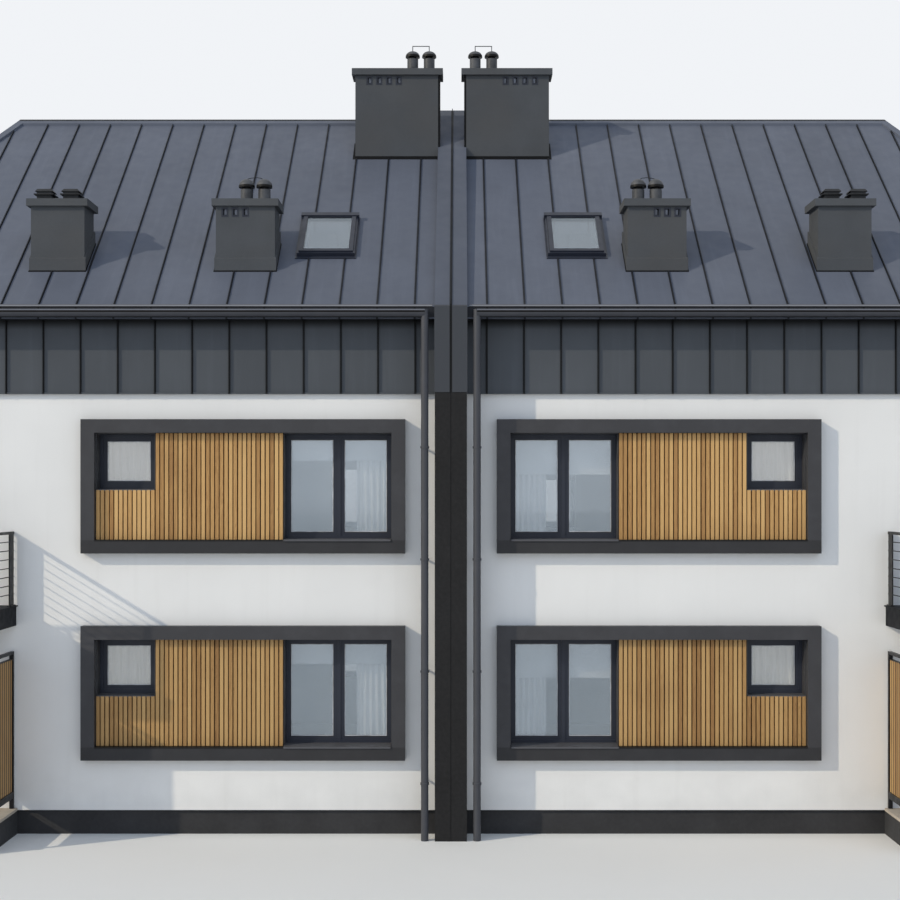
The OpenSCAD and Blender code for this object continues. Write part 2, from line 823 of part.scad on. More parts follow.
// Low flat hoods on the outer chimneys, each with a flange and sloping sides
hood_w = 262;
hood_top_w = 200;
hood_z = 145;
hood_h = 40;
module hood_outline() {
    polygon([[-hood_w / 2, hood_z], [hood_w / 2, hood_z],
        [hood_top_w / 2, hood_z + hood_h], [-hood_top_w / 2, hood_z + hood_h]]);
}
module flat_hood() {
    neck_w = 216;
    flange_w = 290;
    flange_z = 95;
    flange_t = 15;
    block([-neck_w / 2, -neck_w / 2, 0], [neck_w, neck_w, hood_z]);
    block([-flange_w / 2, -flange_w / 2, flange_z], [flange_w, flange_w, flange_t]);
    intersection() {
        along_x(-hood_w / 2, hood_w / 2) hood_outline();
        along_y(-hood_w / 2, hood_w / 2) hood_outline();
    }
}
module flue_pots() {
    ridge_along = 284;
    mid_along = 317;
    mid_gap = pot_gap - 14;
    ridge_pot_h = 205;
    ridge_dome = 90;
    mid_pot_h = 190;
    mid_dome = 117;
    hat_top = ridge_pot_h + hat_gap + hat_rim + ridge_dome;
    rod_rise = 85;
    hood_gap = 386;
    color(base_grey) both() {
        pot_pair(ridge_foot, ridge_along, pot_gap, stack_ridge_z, ridge_pot_h, ridge_dome);
        hat_rod(ridge_foot, ridge_along, stack_ridge_z + hat_top - rod_d,
            stack_ridge_z + hat_top + rod_rise);
        pot_pair(mid_foot, mid_along, mid_gap, stack_low_z, mid_pot_h, mid_dome);
        for (i = [-1, 1]) translate([outer_stack_x + 52 + i * hood_gap / 2,
            low_stack_y + low_stack_d / 2, stack_low_z]) flat_hood();
    }
}

// Skylights lie on the front slopes: flashing, casing, sash and a hood at the head
module on_slope(x, y) { translate([x, y, front_z(y)]) rotate([pitch, 0, 0]) children(); }
module skylight() {
    skirt_t = 12;
    step_h = 25;
    step_in = 30;
    hood_l = 90;
    hood_out = 12;
    difference() {
        union() {
            block([-skylight_w / 2 - skylight_skirt, -skylight_apron, 0],
                [skylight_w + 2 * skylight_skirt,
                skylight_l + skylight_apron + skylight_skirt, skirt_t]);
            block([-skylight_w / 2, 0, 0], [skylight_w, skylight_l, skylight_h - step_h]);
            block([step_in - skylight_w / 2, step_in, 0],
                [skylight_w - 2 * step_in, skylight_l - 2 * step_in, skylight_h]);
            block([-skylight_w / 2 - hood_out, skylight_l - hood_l + hood_out, 0],
                [skylight_w + 2 * hood_out, hood_l, skylight_h + hood_out]);
        }
        block([skylight_bar - skylight_w / 2, skylight_bar, -1],
            [skylight_w - 2 * skylight_bar, skylight_l - 2 * skylight_bar, over]);
    }
}
module skylights() {
    color(base_grey) both() on_slope(skylight_x, skylight_y) skylight();
}
module skylight_glass() {
    glass_top = skylight_h - 17;
    color(glass_blue, 0.5) both() on_slope(skylight_x, skylight_y)
        block([skylight_bar - skylight_w / 2, skylight_bar, glass_top - glass_t],
            [skylight_w - 2 * skylight_bar, skylight_l - 2 * skylight_bar, glass_t]);
}

// Balconies: a slab with a metal plate on it, and railings on three sides
deck_z = floor_z + storey_h - balcony_step;
rail_in = 28;
rail_off = 5;
module balcony_slab() {
    block([balcony_x, -balcony_out, deck_z - balcony_t],
        [balcony_w, balcony_out, balcony_t - deck_t]);
    block([balcony_x - deck_out, -balcony_out - deck_out, deck_z - deck_t],
        [balcony_w + 2 * deck_out, balcony_out + deck_out, deck_t]);
}
module balcony_slabs() { color(clad_grey) both() balcony_slab(); }

// Railings: square posts along the front, flat posts at the wall, a handrail and level
// round bars that pass through the posts and end just short of the wall
module railing() {
    x0 = balcony_x + rail_in;
    x1 = balcony_x + balcony_w - rail_in - rail_post;
    y0 = -balcony_out + rail_in;
    plate_t = 16;
    plate_off = 30;
    hand_t = 40;
    low = 165;
    high = 145;
    step = (rail_h - low - high) / (rail_bars - 1);
    bar_xs = [x0 + plate_t / 2, x1 + rail_post - plate_t / 2];
    for (x = [x0, (x0 + x1) / 2, x1])
        block([x, y0, deck_z], [rail_post, rail_post, rail_h]);
    for (x = bar_xs) block([x - plate_t / 2, -plate_off - plate_d, deck_z],
        [plate_t, plate_d, rail_h]);
    block([x0, y0, deck_z + rail_h - hand_t], [x1 - x0 + rail_post, rail_post, hand_t]);
    for (x = [x0, x1]) block([x, y0, deck_z + rail_h - hand_t],
        [rail_post, -rail_off - y0, hand_t]);
    for (i = [0 : rail_bars - 1]) {
        z = deck_z + low + i * step;
        translate([x0, y0 + rail_post / 2, z]) rotate([0, 90, 0])
            cylinder(d = bar_d, h = x1 - x0 + rail_post);
        for (x = bar_xs) translate([x, y0, z]) rotate([-90, 0, 0])
            cylinder(d = bar_d, h = -rail_off - y0);
    }
}
module balcony_railings() { color(base_grey) both() railing(); }

// Terraces under the balconies: a base with slabs that stand a little past it
paving_out = 15;
module terraces() {
    base_h = terrace_h - paving_t;
    color(concrete) both() {
        block([balcony_x, -balcony_out, 0], [balcony_w, balcony_out, base_h]);
        block([balcony_x, -1, 0], [balcony_w, 1 + plinth_in, min(base_h, plinth_h)]);
        block([balcony_x - paving_out, -balcony_out - paving_out, base_h],
            [balcony_w + 2 * paving_out, balcony_out + paving_out, paving_t]);
    }
}

// Timber screens in steel frames at the terraces' near sides
module screen() {
    x = balcony_x + rail_in;
    y0 = -balcony_out + rail_in;
    y1 = -post - rail_off;
    run = y1 - y0 - post;
    foot = 148;
    bottom_h = 96;
    top_h = 40;
    strip_h = 65;
    board_t = 28;
    board_gap = 8;
    board_w = (run - (screen_boards + 1) * board_gap) / screen_boards;
    board_top = screen_h - top_h - strip_h;
    for (y = [y0, y1]) block([x, y, terrace_h], [post, post, screen_h]);
    block([x, y0, terrace_h + screen_h - top_h], [post, run + 2 * post, top_h]);
    block([x, y0, terrace_h + foot], [post, run + 2 * post, bottom_h]);
    block([x, y0, terrace_h + board_top - lip_t], [post, run + 2 * post, lip_t]);
    for (i = [0 : screen_boards - 1])
        block([x + (post - board_t) / 2, y0 + post + board_gap + i * (board_w + board_gap),
            terrace_h + foot + bottom_h], [board_t, board_w, board_top - foot - bottom_h]);
}
module terrace_screens() { color(base_grey) both() screen(); }

module plinth_left() { left() plinth(); }
module plinth_right() { plinth(); }
module front_wall_left() { left() long_wall(front_holes); }
module front_wall_right() { long_wall(front_holes); }
module back_wall_left() { left() back() long_wall(back_holes); }
module back_wall_right() { back() long_wall(back_holes); }
module end_wall_left() { left() end_wall(); }
module end_wall_right() { end_wall(); }
module cladding_left() { left() cladding(); }
module cladding_right() { cladding(); }
module front_roof_left() { left() front_roof(); }
module front_roof_right() { front_roof(); }
module back_roof_left() { left() back_roof(); }
module back_roof_right() { back_roof(); }
module hip_roof_left() { left() hip_roof(); }
module hip_roof_right() { hip_roof(); }
module gutter_left() { left() gutter(); }
module gutter_right() { gutter(); }

ground_floor();
upper_floor();
attic_floor();
party_wall();
party_capping();
plinth_left();
plinth_right();
front_wall_left();
front_wall_right();
back_wall_left();
back_wall_right();
end_wall_left();
end_wall_right();
cladding_left();
cladding_right();
front_roof_left();
front_roof_right();
back_roof_left();
back_roof_right();
hip_roof_left();
hip_roof_right();
roof_ridges();
gutter_left();
gutter_right();
downpipes();
front_surrounds();
back_surrounds();
front_panels();
back_panels();
front_windows();
back_windows();
front_glass();
back_glass();
window_sills();
ridge_chimneys();
mid_chimneys();
outer_chimneys();
chimney_caps();
flue_pots();
skylights();
skylight_glass();
balcony_slabs();
balcony_railings();
terraces();
terrace_screens();
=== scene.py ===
"""Finishes and fine pieces of a block of two mirrored houses, laid out as an add-on.

The frame's nodes carry the building. This file gives them their finishes and adds what is
too fine for them: timber slats and boards, flashings, vent sleeves, glazing bars, curtains.
All lengths are in metres. X runs along the front, Y into the block and Z up.
"""
import math

import bpy
import numpy as np
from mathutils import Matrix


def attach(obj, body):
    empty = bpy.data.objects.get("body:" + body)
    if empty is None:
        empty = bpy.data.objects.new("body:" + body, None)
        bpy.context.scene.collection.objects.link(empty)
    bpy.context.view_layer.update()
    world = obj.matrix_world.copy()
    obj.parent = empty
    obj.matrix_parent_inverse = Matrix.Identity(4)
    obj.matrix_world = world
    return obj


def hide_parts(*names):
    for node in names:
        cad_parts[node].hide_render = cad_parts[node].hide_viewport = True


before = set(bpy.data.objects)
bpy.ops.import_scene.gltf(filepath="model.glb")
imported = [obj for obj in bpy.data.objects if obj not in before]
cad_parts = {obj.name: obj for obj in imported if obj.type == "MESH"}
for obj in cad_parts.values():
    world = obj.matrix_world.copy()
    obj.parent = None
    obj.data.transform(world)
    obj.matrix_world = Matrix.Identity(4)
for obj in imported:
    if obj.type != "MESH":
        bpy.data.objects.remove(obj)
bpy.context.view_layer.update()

bl_info = {
    "name": "Two House Block",
    "version": (1, 0, 0),
    "blender": (4, 5, 0),
    "location": "View3D > Sidebar > House Block",
    "description": "Finishes and fine pieces for a block of two mirrored houses",
    "category": "Object",
}


# Settings

def length(name, description, default):
    """A length in metres."""
    return bpy.props.FloatProperty(
        name=name, description=description, default=default, min=0.0, unit="LENGTH")


def colour(name, description, default):
    """A surface colour, as linear red, green and blue."""
    return bpy.props.FloatVectorProperty(
        name=name, description=description, default=default, size=3, min=0.0, max=1.0,
        subtype="COLOR")


class BlockSizes(bpy.types.PropertyGroup):
    """Where the frame's walls, openings and slopes are."""

    half_w: length("Half length", "Party line to an end wall's face", 9.42)
    depth: length("Depth", "Front wall's face to back wall's face", 8.54)
    eaves_out: length("Eaves", "How far the eaves stand out from the walls", 0.33)
    eaves_z: length("Eaves height", "Height of the drip edge", 7.50)
    soffit_z: length("Soffit height", "Height of the level soffits", 7.33)
    ridge_z: length("Ridge height", "Height of the ridge", 11.21)
    floor_z: length("Ground floor", "Height of the ground floor", 0.38)
    storey_h: length("Storey", "Rise from floor to floor", 2.94)
    seam_x: length("First seam", "Party line to the first standing seam", 0.51)
    seam_gap: length("Seam gap", "Distance between standing seams", 0.53)
    band_mid: length("Window band", "Floor to the middle of a window band", 1.653)
    band_x: length("Window band start", "Party line to a band's clear opening", 0.844)
    band_w: length("Window band width", "Clear width of a window band", 4.222)
    band_h: length("Window band height", "Clear height of a window band", 1.523)
    double_w: length("Double window", "Width of the double windows", 1.545)
    small_w: length("Small window width", "Width of the small windows", 0.848)
    small_h: length("Small window height", "Height of the small windows", 0.811)
    door_x: length("Doors", "Party line to the near side of the doors", 6.82)
    door_w: length("Door width", "Width of a pair of doors", 1.80)
    reveal: length("Reveal", "Wall's face to a window frame's face", 0.18)
    frame_d: length("Frame depth", "Depth of the window frames", 0.08)
    ridge_stack_z: length("Ridge chimneys", "Top of the caps at the ridge", 11.83)
    low_stack_z: length("Eaves chimneys", "Top of the caps at the eaves", 9.163)


class TimberSizes(bpy.types.PropertyGroup):
    """Slats of the window bands and boards of the terrace screens."""

    pitch: length("Slat pitch", "From one slat to the next", 0.0653)
    width: length("Slat width", "Width of a slat", 0.050)
    front: length("Slat face", "How far the slats' faces stand out from the wall", 0.055)
    backing: length("Backing", "Thickness of the dark board behind the slats", 0.010)
    round_r: length("Slat rounding", "Radius of a slat's front edges", 0.003)
    screen_x: length("Screen line", "Party line to the middle of a screen", 6.266)
    screen_t: length("Screen board", "Thickness of the screens' boards", 0.030)
    screen_y: length("Screen run", "Wall's face to the screens' outer post", 1.166)
    screen_w: length("Board width", "Width of one screen board", 0.26625)
    screen_gap: length("Board gap", "Gap between two screen boards", 0.008)
    screen_z0: length("Board foot", "Height of the boards' lower ends", 0.623)
    screen_z1: length("Board head", "Height of the boards' upper ends", 2.508)


class Colours(bpy.types.PropertyGroup):
    """Colours of the finishes."""

    render: colour("Render", "Outer walls", (0.755, 0.745, 0.725))
    base: colour("Plinth", "Plinths", (0.031, 0.031, 0.033))
    pier: colour("Pier", "Party wall and its piers", (0.011, 0.011, 0.012))
    concrete: colour("Concrete", "Floors and terrace slabs", (0.42, 0.37, 0.31))
    roof: colour("Roof sheet", "Roof slopes, ridge and hip caps", (0.098, 0.110, 0.142))
    cladding: colour("Cladding sheet", "Band under the eaves, capping", (0.070, 0.077, 0.087))
    gutter: colour("Gutter sheet", "Gutters and downpipes", (0.048, 0.050, 0.058))
    surround: colour("Window bands", "Deep frames round the windows", (0.041, 0.041, 0.045))
    frames: colour("Window frames", "Window and skylight frames", (0.022, 0.026, 0.039))
    chimney: colour("Chimneys", "Rendered chimneys", (0.066, 0.071, 0.078))
    hats: colour("Flue hats", "Flue pots and hats", (0.070, 0.073, 0.079))
    rails: colour("Railings", "Railings and screen frames", (0.014, 0.014, 0.016))
    timber_light: colour("Light timber", "Palest slats", (0.55, 0.34, 0.136))
    timber_mid: colour("Timber", "Usual slats", (0.42, 0.235, 0.082))
    timber_dark: colour("Dark timber", "Darkest slats", (0.265, 0.134, 0.044))
    glass: colour("Glass", "Glass units", (0.55, 0.62, 0.68))
    cloth: colour("Curtains", "Curtains and blinds", (0.90, 0.90, 0.89))
    edge: colour("Eaves edge", "Pale fold along the eaves", (0.25, 0.255, 0.28))
    pier_sheet: colour("Pier sheet", "Capping down the piers", (0.050, 0.054, 0.062))
    balcony: colour("Balcony plates", "Plates round the balcony slabs",
                    (0.0056, 0.0065, 0.0092))
    zinc: colour("Pale zinc", "Spacer bars and curtain rails", (0.42, 0.43, 0.45))
    vents: colour("Vent plates", "Plates in the vent slots", (0.15, 0.16, 0.19))
    backing: colour("Backing boards", "Boards behind the slats",
                    (0.045, 0.026, 0.014))


class StageSettings(bpy.types.PropertyGroup):
    """Camera, floor and lights."""

    lens: bpy.props.FloatProperty(
        name="Lens", description="Focal length on a 36 mm sensor, in millimetres",
        default=61.6, unit="CAMERA")
    camera: bpy.props.FloatVectorProperty(
        name="Camera", description="Place of the camera", default=(0.124, -22.0, 4.85),
        size=3, subtype="TRANSLATION", unit="LENGTH")
    shift: bpy.props.FloatVectorProperty(
        name="Shift", description="Camera shift as shares of the picture's width",
        default=(-0.0108, 0.05), size=2)
    sun: bpy.props.FloatProperty(
        name="Sun", description="Strength of the soft sun lamp", default=2.23, min=0.0)
    sun_size: bpy.props.FloatProperty(
        name="Sun size", description="Angle that the sun lamp fills", default=0.015,
        subtype="ANGLE")
    sky: bpy.props.FloatProperty(
        name="Sky", description="Strength of the even light", default=0.80, min=0.0)
    ground: colour("Floor", "The plain floor", (0.80, 0.80, 0.79))
    backdrop: colour("Backdrop", "The plain background", (0.88, 0.90, 0.93))


# Meshes: every piece but the sheets is made of closed rings of points, as arrays of the
# shape [piece, ring, point, axis]

def points(*axes):
    """Points from their X, Y and Z, each an array or one value for all of them."""
    return np.stack(np.broadcast_arrays(*axes), axis=-1)


def full_turn(sides):
    """Even angles round a full circle."""
    return np.linspace(0, 2 * math.pi, sides, endpoint=False)


def circle(turn):
    """Points of the unit circle at some angles, as their cosines and sines."""
    return points(np.cos(turn), np.sin(turn))


def lofts(rings, loop=False):
    """Vertices and faces of closed bodies, each with its rings joined one to the next.

    Ring r and ring r + 1 of a body are joined by a quad from each point to the next.
    With loop the last ring is joined to the first, otherwise both end rings are filled.
    """
    bodies, count, sides = rings.shape[:3]
    index = np.arange(bodies * count * sides).reshape(bodies, count, sides)
    ahead = np.roll(index, -1, axis=2)
    if loop:
        low, low_ahead = index, ahead
        high, high_ahead = np.roll(index, -1, axis=1), np.roll(ahead, -1, axis=1)
    else:
        low, low_ahead = index[:, :-1], ahead[:, :-1]
        high, high_ahead = index[:, 1:], ahead[:, 1:]
    quads = np.stack([low, low_ahead, high_ahead, high], axis=-1).reshape(-1, 4)
    faces = quads.tolist()
    if not loop:
        faces += index[:, 0, ::-1].tolist() + index[:, -1].tolist()
    return rings.reshape(-1, 3), faces


def join(*parts):
    """One list of vertices and faces from several, with the later indices moved up."""
    vertices, faces, start = [], [], 0
    for places, some in parts:
        vertices.append(places)
        faces += [[i + start for i in face] for face in some]
        start += len(places)
    return np.concatenate(vertices), faces


def turned_over(rings, axis, line):
    """Rings mirrored in the plane axis = line, run backwards so that they face outwards."""
    other = rings[:, :, ::-1].copy()
    other[..., axis] = 2 * line - other[..., axis]
    return other


def both(rings):
    """The right-hand house's rings, and the left-hand house's after them."""
    return np.concatenate([rings, turned_over(rings, 0, 0.0)])


def behind(sizes, rings):
    """The front's rings mirrored to the back, in the plane half way through the block."""
    return turned_over(rings, 1, sizes.depth / 2)


def add_piece(name, mesh_data, finish_name, replaces=(), smooth=False):
    """Puts vertices and faces into a mesh object at the origin that rides on the block."""
    vertices, faces = mesh_data
    mesh = bpy.data.meshes.new(name)
    mesh.from_pydata(np.asarray(vertices, float).tolist(), [], faces)
    mesh.validate()
    if smooth:
        mesh.shade_smooth()
    piece = bpy.data.objects.new(name, mesh)
    bpy.context.scene.collection.objects.link(piece)
    piece.data.materials.append(finish(finish_name))
    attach(piece, "root")
    if replaces:
        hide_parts(*replaces)
    return piece


def carried_up(outlines, z0, z1, ease):
    """Outlines [body, point, 2] in X and Y, carried along Z from z0 to z1.

    The end rings are drawn in by ease towards each outline's middle and start one ease
    from the ends, which breaks the end edges.
    """
    middle = outlines.mean(axis=1, keepdims=True)
    half = np.abs(outlines - middle).max(axis=1, keepdims=True)
    drawn = middle + (outlines - middle) * (1 - ease / half)
    z0, z1 = (np.broadcast_to(z, len(outlines)).astype(float) for z in (z0, z1))
    rings = np.empty((len(outlines), 4, outlines.shape[1], 3))
    for i, (outline, z) in enumerate(
            ((drawn, z0), (outlines, z0 + ease), (outlines, z1 - ease), (drawn, z1))):
        rings[:, i, :, :2] = outline
        rings[:, i, :, 2] = z[:, None]
    return rings


def boxes(low, high, ease):
    """Boxes between two corners [body, 3], with their upper and lower edges broken."""
    low, high = np.atleast_2d(low).astype(float), np.atleast_2d(high).astype(float)
    x = np.stack([low[:, 0], high[:, 0], high[:, 0], low[:, 0]], axis=1)
    y = np.stack([low[:, 1], low[:, 1], high[:, 1], high[:, 1]], axis=1)
    return carried_up(np.stack([x, y], axis=-1), low[:, 2], high[:, 2], ease)


def frame_rings(holes, profile):
    """Frames round holes in X and Z, as a profile carried round each hole's corners.

    holes is [frame, 4] as left, bottom, width and height. A profile point (a, y) lies a
    inside the hole's edge and y along Y, and the four corners are mitred.
    """
    holes, profile = np.asarray(holes, float), np.asarray(profile, float)
    inset, y = profile[:, 0], profile[:, 1]
    rings = np.empty((len(holes), 4, len(profile), 3))
    sides = ((0, 0, 1, 1), (1, 0, -1, 1), (1, 1, -1, -1), (0, 1, 1, -1))
    for i, (right, top, sx, sz) in enumerate(sides):
        rings[:, i, :, 0] = (holes[:, 0] + right * holes[:, 2])[:, None] + sx * inset
        rings[:, i, :, 1] = y
        rings[:, i, :, 2] = (holes[:, 1] + top * holes[:, 3])[:, None] + sz * inset
    return rings


def rods(paths, radius, sides=8):
    """Round rods along paths [rod, point, 3] that lie in planes of one Y.

    Each path point carries a circle across the path: it turns in the plane of the path's
    normal in X and Z and the Y axis.
    """
    along = np.gradient(paths, axis=1)
    along /= np.linalg.norm(along, axis=-1, keepdims=True)
    across = np.stack([along[..., 2], np.zeros_like(along[..., 0]), -along[..., 0]], -1)
    turn = full_turn(sides)
    y_axis = np.array([0.0, 1.0, 0.0])
    return (paths[:, :, None] + radius * np.cos(turn)[:, None] * across[:, :, None]
            - radius * np.sin(turn)[:, None] * y_axis)


# Places that several pieces share

def front_z(sizes, y):
    """Height of the front slope above a Y."""
    rise = sizes.ridge_z - sizes.eaves_z
    run = sizes.depth / 2 + sizes.eaves_out
    return sizes.eaves_z + (y + sizes.eaves_out) * rise / run


def band_z(sizes, storey):
    """Height of the lower edge of a window band's clear opening."""
    return sizes.floor_z + storey * sizes.storey_h + sizes.band_mid - sizes.band_h / 2


def double_hole(sizes, storey):
    """A double window's opening as left, bottom, width and height."""
    return [sizes.band_x, band_z(sizes, storey), sizes.double_w, sizes.band_h]


def small_hole(sizes, storey):
    """A small window's opening as left, bottom, width and height."""
    return [sizes.band_x + sizes.band_w - sizes.small_w,
            band_z(sizes, storey) + sizes.band_h - sizes.small_h,
            sizes.small_w, sizes.small_h]


def door_hole(sizes, storey):
    """A pair of doors' opening as left, bottom, width and height."""
    bottom = sizes.floor_z + storey * sizes.storey_h
    return [sizes.door_x, bottom, sizes.door_w,
            band_z(sizes, storey) + sizes.band_h - bottom]


# The sills' thickness, and the widths of side bars, rails and middle bar round the glass
SILL_T = 0.014
WIDE_BARS = (0.074, 0.084, 0.147)
SMALL_BARS = (0.105, 0.105, 0.0)


def panes(hole, bars):
    """The clear glass areas in an opening, from its side bar, rail and middle bar."""
    side, rail, middle = bars
    bottom, height = hole[1] + SILL_T + rail, hole[3] - SILL_T - 2 * rail
    if not middle:
        return [[hole[0] + side, bottom, hole[2] - 2 * side, height]]
    width = (hole[2] - 2 * side - middle) / 2
    return [[hole[0] + side + i * (width + middle), bottom, width, height] for i in (0, 1)]


def all_panes(sizes, doors):
    """The glass areas of the right-hand house's front, or of its back without doors."""
    found = []
    for storey in (0, 1):
        found += panes(double_hole(sizes, storey), WIDE_BARS)
        found += panes(small_hole(sizes, storey), SMALL_BARS)
        if doors:
            found += panes(door_hole(sizes, storey), WIDE_BARS)
    return found


# Finishes

class Nodes:
    """Short calls that each add one node to a tree."""

    def __init__(self, tree):
        self.tree = tree

    def add(self, kind, inputs=(), **settings):
        """A node with its settings, and its inputs as (socket, value or output) pairs."""
        node = self.tree.nodes.new(kind)
        for key, value in settings.items():
            setattr(node, key, value)
        for socket, value in inputs:
            if isinstance(value, bpy.types.NodeSocket):
                self.tree.links.new(value, node.inputs[socket])
            else:
                node.inputs[socket].default_value = value
        return node

    def math(self, operation, a, b=0.0, clamp=False):
        """One sum, product or comparison of two values."""
        return self.add("ShaderNodeMath", [(0, a), (1, b)], operation=operation,
                        use_clamp=clamp).outputs[0]

    def times(self, a, b):
        """The product of two values."""
        return self.math("MULTIPLY", a, b)

    def less(self, a, b):
        """One value less another."""
        return self.math("SUBTRACT", a, b)

    def apart(self, a, b):
        """How far two values are apart."""
        return self.math("ABSOLUTE", self.less(a, b))

    def fit(self, value, low, high, to_low=0.0, to_high=1.0):
        """A value's range from low to high, stretched to another range and held there."""
        return self.add("ShaderNodeMapRange", [
            ("Value", value), ("From Min", low), ("From Max", high), ("To Min", to_low),
            ("To Max", to_high)]).outputs["Result"]


class Finish(Nodes):
    """A procedural material."""

    def __init__(self, name, roughness, **sockets):
        self.material = bpy.data.materials.new(name)
        self.material.use_nodes = True
        super().__init__(self.material.node_tree)
        self.shader = self.tree.nodes["Principled BSDF"]
        self.shader.inputs["Roughness"].default_value = roughness
        for socket, value in sockets.items():
            self.shader.inputs[socket.replace("_", " ")].default_value = value
        self.where = self.add("ShaderNodeTexCoord").outputs["Object"]

    def axes(self):
        """X, Y and Z of the place on the block."""
        return self.add("ShaderNodeSeparateXYZ", [(0, self.where)]).outputs

    def noise(self, scale, detail=3.0, stretch=(1, 1, 1), rough=0.5, warp=0.0):
        """Cloudy values from 0 to 1, with scale clouds to the metre along each axis."""
        place = self.add("ShaderNodeMapping", [("Vector", self.where), ("Scale", stretch)])
        return self.add("ShaderNodeTexNoise", [
            ("Vector", place.outputs[0]), ("Scale", scale), ("Detail", detail),
            ("Roughness", rough), ("Distortion", warp)]).outputs["Fac"]

    def clouds(self, scale, low=0.0, high=1.0, detail=3.0, rough=0.5):
        """Noise from low to high: its usual range, 0.3 to 0.7, is stretched to them."""
        return self.fit(self.noise(scale, detail, rough=rough), 0.3, 0.7, low, high)

    def chance(self, *values):
        """One even random value for each set of up to three whole numbers."""
        place = self.add("ShaderNodeCombineXYZ", list(enumerate(values)))
        return self.add("ShaderNodeTexWhiteNoise", [("Vector", place.outputs[0])],
                        noise_dimensions="3D").outputs["Value"]

    def mix(self, share, a, b):
        """Two colours mixed by a share."""
        def four(value):
            return value if isinstance(value, bpy.types.NodeSocket) else (*value[:3], 1.0)
        return self.add("ShaderNodeMix", [(0, share), (6, four(a)), (7, four(b))],
                        data_type="RGBA").outputs[2]

    def scaled(self, shade, amount):
        """A colour times one amount for all three channels."""
        return self.add("ShaderNodeVectorMath", [(0, shade), ("Scale", amount)],
                        operation="SCALE").outputs[0]

    def shaded(self, body, off, full, none, dark):
        """A colour times dark where off is below full, and as it is where off is past none."""
        return self.scaled(body, self.fit(off, full, none, dark, 1.0))

    def colour(self, output):
        """The base colour."""
        self.tree.links.new(output, self.shader.inputs["Base Color"])
        return self

    def base(self):
        """What feeds the base colour so far."""
        return self.shader.inputs["Base Color"].links[0].from_socket

    def roughness(self, output):
        """The roughness."""
        self.tree.links.new(output, self.shader.inputs["Roughness"])
        return self

    def relief(self, *layers):
        """Bumps, each as height, strength and the height in metres, laid one on another."""
        normal = None
        for height, strength, distance in layers:
            inputs = [("Height", height), ("Strength", strength), ("Distance", distance)]
            if normal:
                inputs.append(("Normal", normal))
            normal = self.add("ShaderNodeBump", inputs).outputs["Normal"]
        self.tree.links.new(normal, self.shader.inputs["Normal"])
        return self


def dimmed(shade, amount):
    """A colour made darker or lighter by one factor."""
    return tuple(min(1.0, channel * amount) for channel in shade)


def render_finish(name, shade):
    """White fine-grained render: even, with a faint cloud, faint runs, a rubbed grain and
    painted shade near the ground.
    """
    f = Finish(name, 0.92, Specular_IOR_Level=0.25)
    cloud = f.fit(f.noise(0.7, 4.0), 0.35, 0.68)
    patch = f.mix(cloud, dimmed(shade, 0.965), dimmed(shade, 1.02))
    upright, run_shade = (7.0, 7.0, 0.35), (0.66, 0.645, 0.62)
    runs = f.fit(f.noise(1.0, 4.0, upright), 0.54, 0.75)
    tinted = f.mix(f.times(runs, 0.2), patch, run_shade)
    speck = f.fit(f.noise(220.0, 2.0), 0.3, 0.72, 0.95, 1.04)
    # Painted shade near the ground: the render darkens to 0.91 of its colour towards the wall's
    # foot, with a ragged edge.
    low_shade_z = f.fit(f.axes()[2], 0.35, 1.3)
    low_shade = f.math("ADD", low_shade_z, f.noise(3.0, 4.0))
    f.colour(f.shaded(f.scaled(tinted, speck), low_shade, 0.35, 0.95, 0.91))
    f.roughness(f.clouds(30.0, 0.86, 0.97))
    return f.relief((f.noise(2.2), 0.35, 0.006), (f.noise(210.0), 0.5, 0.0012),
                    (f.noise(620.0, 2.0), 0.3, 0.0005))


def stone_finish(name, shade, dark=0.72, grain=240.0):
    """Dark render or concrete: two shades in clouds, pores and a fine grain."""
    f = Finish(name, 0.88, Specular_IOR_Level=0.35)
    cloud = f.clouds(1.6, detail=5.0, rough=0.6)
    body = f.mix(cloud, dimmed(shade, dark), dimmed(shade, 1.15))
    f.colour(f.scaled(body, f.clouds(grain, 0.86, 1.14)))
    f.roughness(f.clouds(18.0, 0.80, 0.94))
    return f.relief((f.noise(4.0), 0.3, 0.004), (f.noise(grain, 4.0), 0.55, 0.0012))


def chimney_finish(name, shade):
    """Grey chimney render: a little warmer in broad patches, with a fine grain."""
    f = Finish(name, 0.82, Specular_IOR_Level=0.2)
    cloud = f.fit(f.noise(2.0, 4.0), 0.35, 0.65)
    body = f.mix(cloud, dimmed(shade, 0.93), dimmed(shade, 1.06))
    warm_shade = (0.070, 0.070, 0.071)
    warm = f.fit(f.noise(0.9, 2.0, (1.0, 1.0, 1.6)), 0.4, 0.65)
    body = f.mix(f.times(warm, 0.5), body, warm_shade)
    f.colour(f.scaled(body, f.clouds(260.0, 0.93, 1.07, 2.0)))
    f.roughness(f.clouds(25.0, 0.74, 0.88))
    return f.relief((f.noise(5.0), 0.25, 0.003), (f.noise(260.0), 0.4, 0.0008))


def pan(f, sizes, along):
    """The number of the sheet along X or Y, and the distance to the nearest seam."""
    x, y, _ = f.axes()
    if along == "x":
        run = f.less(f.math("ABSOLUTE", x), sizes.seam_x)
    else:
        run = f.less(y, sizes.depth / 2)
    steps = f.math("DIVIDE", run, sizes.seam_gap)
    off = f.apart(f.math("FRACT", f.math("ADD", steps, 0.5)), 0.5)
    return f.math("FLOOR", steps), f.times(off, sizes.seam_gap)


# Tone of the painted shade beside a seam or fold, and how far from the seam's line that shade
# ends
PAINTED_LINE_SHADE = 0.12
PAINTED_SEAM_SPAN = (0.010, 0.018)


